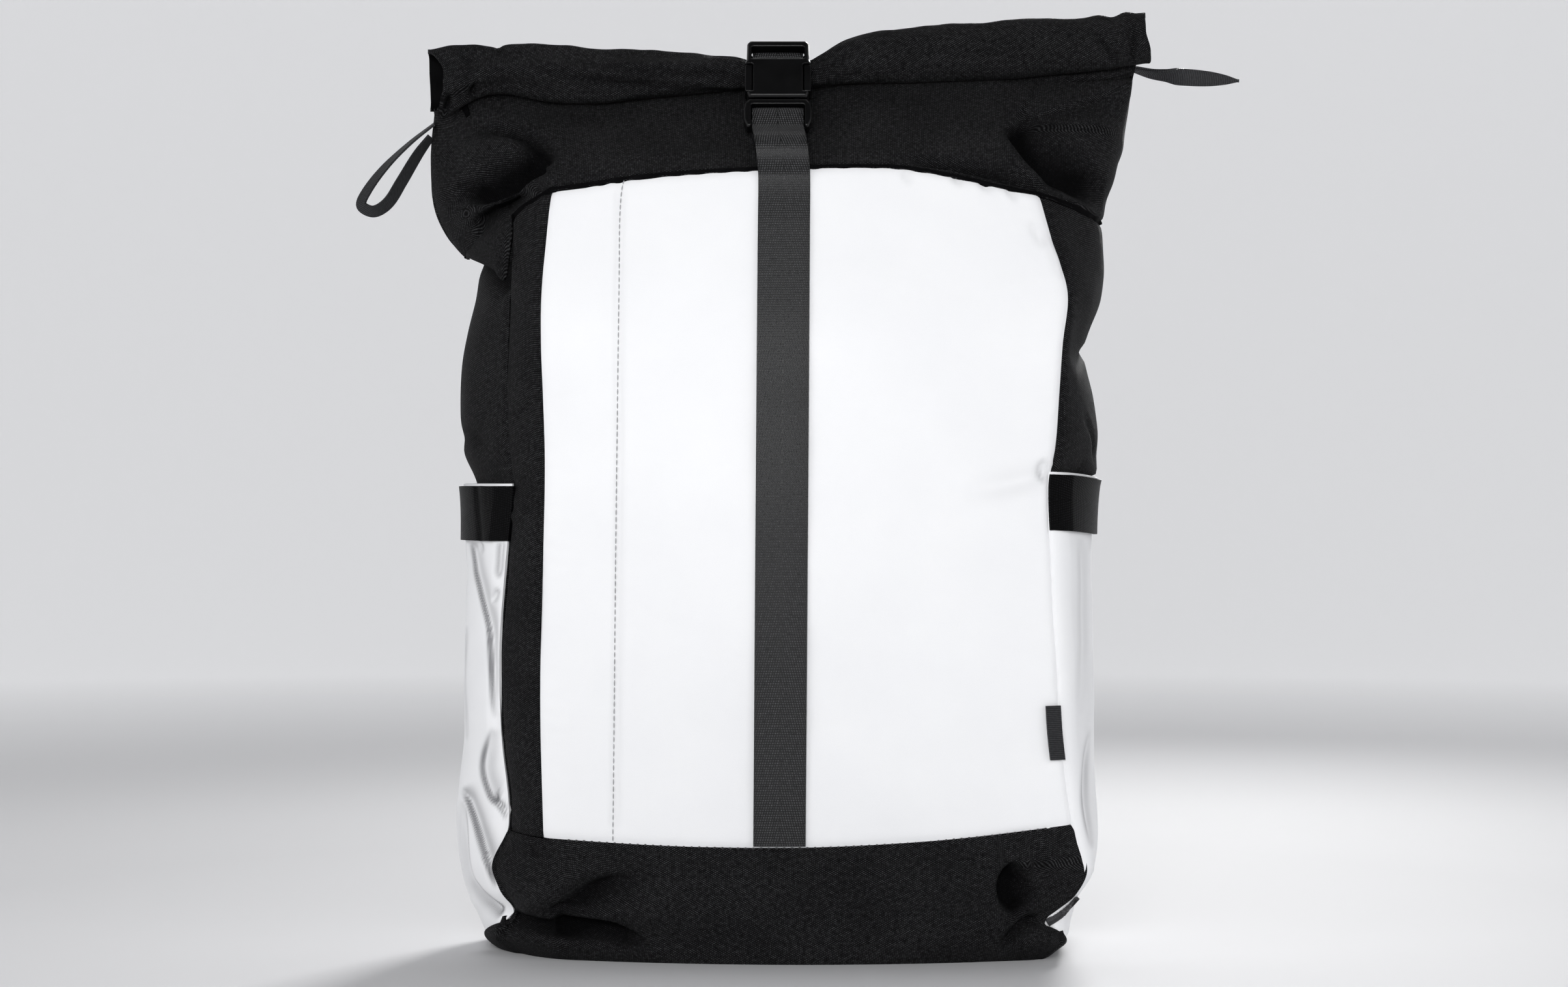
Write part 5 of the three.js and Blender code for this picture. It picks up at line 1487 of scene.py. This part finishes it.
def stitches(name, line, out, material=black_thread, pitch=4.2, length=3.1, radius=0.36):
    """A row of short threads along a line, each tapered at both ends."""
    run = run_along(line)
    middles = np.arange(pitch, run[-1] - pitch / 2, pitch)
    share = np.linspace(-0.5, 0.5, STITCH_RINGS)
    spots = middles[:, None] + share[None] * length
    centre = np.stack([np.interp(spots, run, line[:, i]) for i in range(3)], -1)
    up = unit(np.stack([np.interp(spots, run, out[:, i]) for i in range(3)], -1))
    side = unit(np.cross(unit(centre[:, -1:] - centre[:, :1]), up))
    thick = radius * np.sqrt(np.maximum(1 - (2 * share) ** 2, 0.12))
    centre = centre + up * (radius * (0.9 - 3 * share**2))[None, :, None]
    angle = np.linspace(0, 2 * math.pi, STITCH_SIDES, endpoint=False)[:, None]
    ring = side[:, :, None] * np.cos(angle) + up[:, :, None] * np.sin(angle)
    vertices = centre[:, :, None] + ring * thick[None, :, None, None]
    faces = []
    for first in range(0, len(middles) * STITCH_RINGS * STITCH_SIDES, STITCH_RINGS * STITCH_SIDES):
        faces += tube_faces(first, STITCH_RINGS, STITCH_SIDES)
        last = first + (STITCH_RINGS - 1) * STITCH_SIDES
        faces.append(tuple(range(first, first + STITCH_SIDES))[::-1])
        faces.append(tuple(range(last, last + STITCH_SIDES)))
    dress(new_object(name, vertices.reshape(-1, 3), faces, material), "ribbon")


def tube_faces(first, rings, sides):
    """Faces between rings of points, counted from a first point."""
    faces = []
    for low in range(first, first + (rings - 1) * sides, sides):
        for i in range(sides):
            a, b = low + i, low + (i + 1) % sides
            faces.append((a, b, b + sides, a + sides))
    return faces


stitches("panel_stitches", *on_grid(front_points, PANEL_STITCHES), grey_thread, 3.4, 2.8, 0.3)
for side, (pad, points) in pads.items():
    middle = points.mean(axis=1)
    reach = (points[:, -1] - points[:, 0]) / 2
    inward = reach - unit(reach) * PAD_SEAM
    out = normals(points)[:, PAD_COLUMNS // 2]
    for name, edge in (("inner", middle - inward), ("outer", middle + inward)):
        stitches("pad_stitches_" + side + "_" + name, *laid_on(pad, edge[PAD_STITCHED], out[PAD_STITCHED]))
z = np.linspace(*CHANNEL_ENDS, CHANNEL_STEPS)
backward = np.tile([0.0, 1.0, 0.0], (CHANNEL_STEPS, 1))
for i, x in enumerate(CHANNELS):
    stitches("back_stitches_" + str(i + 1), *laid_on(back_panel, back_at(np.full_like(z, x), z), backward))
stitches("boot_stitches", boot_points[0, BOOT_STITCHED], normals(boot_points)[0, BOOT_STITCHED],
         pitch=3.7, length=1.5, radius=0.5)

# Stage: a round floor that bends up into a wall all round, in metres, and glows a little away from the bag
FLOOR, BEND, WALL_TOP = 2.4, 1.7, 3.8
STAGE_SIDES = 72
BEND_STEPS = 18
profile = [(0.4, 0.0), (1.4, 0.0), (FLOOR, 0.0)]
for turn in [math.pi / 2 * step / BEND_STEPS for step in range(1, BEND_STEPS + 1)]:
    profile.append((FLOOR + BEND * math.sin(turn), BEND * (1 - math.cos(turn))))
profile.append((FLOOR + BEND, WALL_TOP))
angles = [2 * math.pi * i / STAGE_SIDES for i in range(STAGE_SIDES)]
stage_vertices = [(r * math.cos(angle), r * math.sin(angle), z) for r, z in profile for angle in angles]
stage_faces = [tuple(range(STAGE_SIDES))]
stage_faces += [face[::-1] for face in tube_faces(0, len(profile), STAGE_SIDES)]
n = Nodes("pale_floor")
place = n.add("ShaderNodeTexCoord").outputs["Object"]
far = n.add("ShaderNodeVectorMath", {0: place}, operation="LENGTH").outputs["Value"]
floor_material = n.finish((0.66, 0.66, 0.67), 0.8, Emission_Color=(0.98, 0.985, 1.0, 1),
                          Emission_Strength=n.ramp(far, 0.0, 0.38, 0.5, FLOOR))
new_object("floor", np.array(stage_vertices) / MM, stage_faces, floor_material)

# Lights, by place, size, power and spread in degrees
LIGHTS = {
    "front_light": ((-0.15, -1.9, 0.62), (0.5, 0.4), 2.05, 70),
    "left_light": ((-1.5, -1.1, 0.7), (0.7, 0.9), 4.5, 180),
    "right_light": ((1.5, -1.0, 0.7), (0.7, 0.9), 2.5, 180),
    "top_light": ((0.0, 0.6, 2.2), (1.6, 1.0), 5, 180),
    "back_light": ((0.6, 1.9, 1.1), (0.6, 0.6), 6, 60),
}
MIDDLE = Vector((0.0, 0.0, 0.24))
for name, (place, size, power, spread) in LIGHTS.items():
    data = bpy.data.lights.new(name, "AREA")
    data.shape = "RECTANGLE"
    data.size, data.size_y = size
    data.energy = power
    data.spread = math.radians(spread)
    light = bpy.data.objects.new(name, data)
    light.location = place
    light.rotation_euler = (MIDDLE - Vector(place)).to_track_quat("-Z", "Y").to_euler()
    light.visible_camera = False
    bpy.context.scene.collection.objects.link(light)

world = bpy.data.worlds.new("studio")
world.use_nodes = True
world.node_tree.nodes["Background"].inputs[0].default_value = (0.92, 0.94, 0.97, 1)
world.node_tree.nodes["Background"].inputs[1].default_value = 0.06
bpy.context.scene.world = world
bpy.context.scene.view_settings.view_transform = "Standard"

# Camera
CAMERA_PLACE = (2.2, -1562.0, 226.6)
camera_data = bpy.data.cameras.new("camera")
camera_data.sensor_fit = "HORIZONTAL"
camera_data.sensor_width = 36.0
camera_data.lens = 71.76
camera = bpy.data.objects.new("camera", camera_data)
camera.location = [value * MM for value in CAMERA_PLACE]
camera.rotation_euler = (math.pi / 2, 0.0, 0.0)
bpy.context.scene.collection.objects.link(camera)
bpy.context.scene.camera = camera
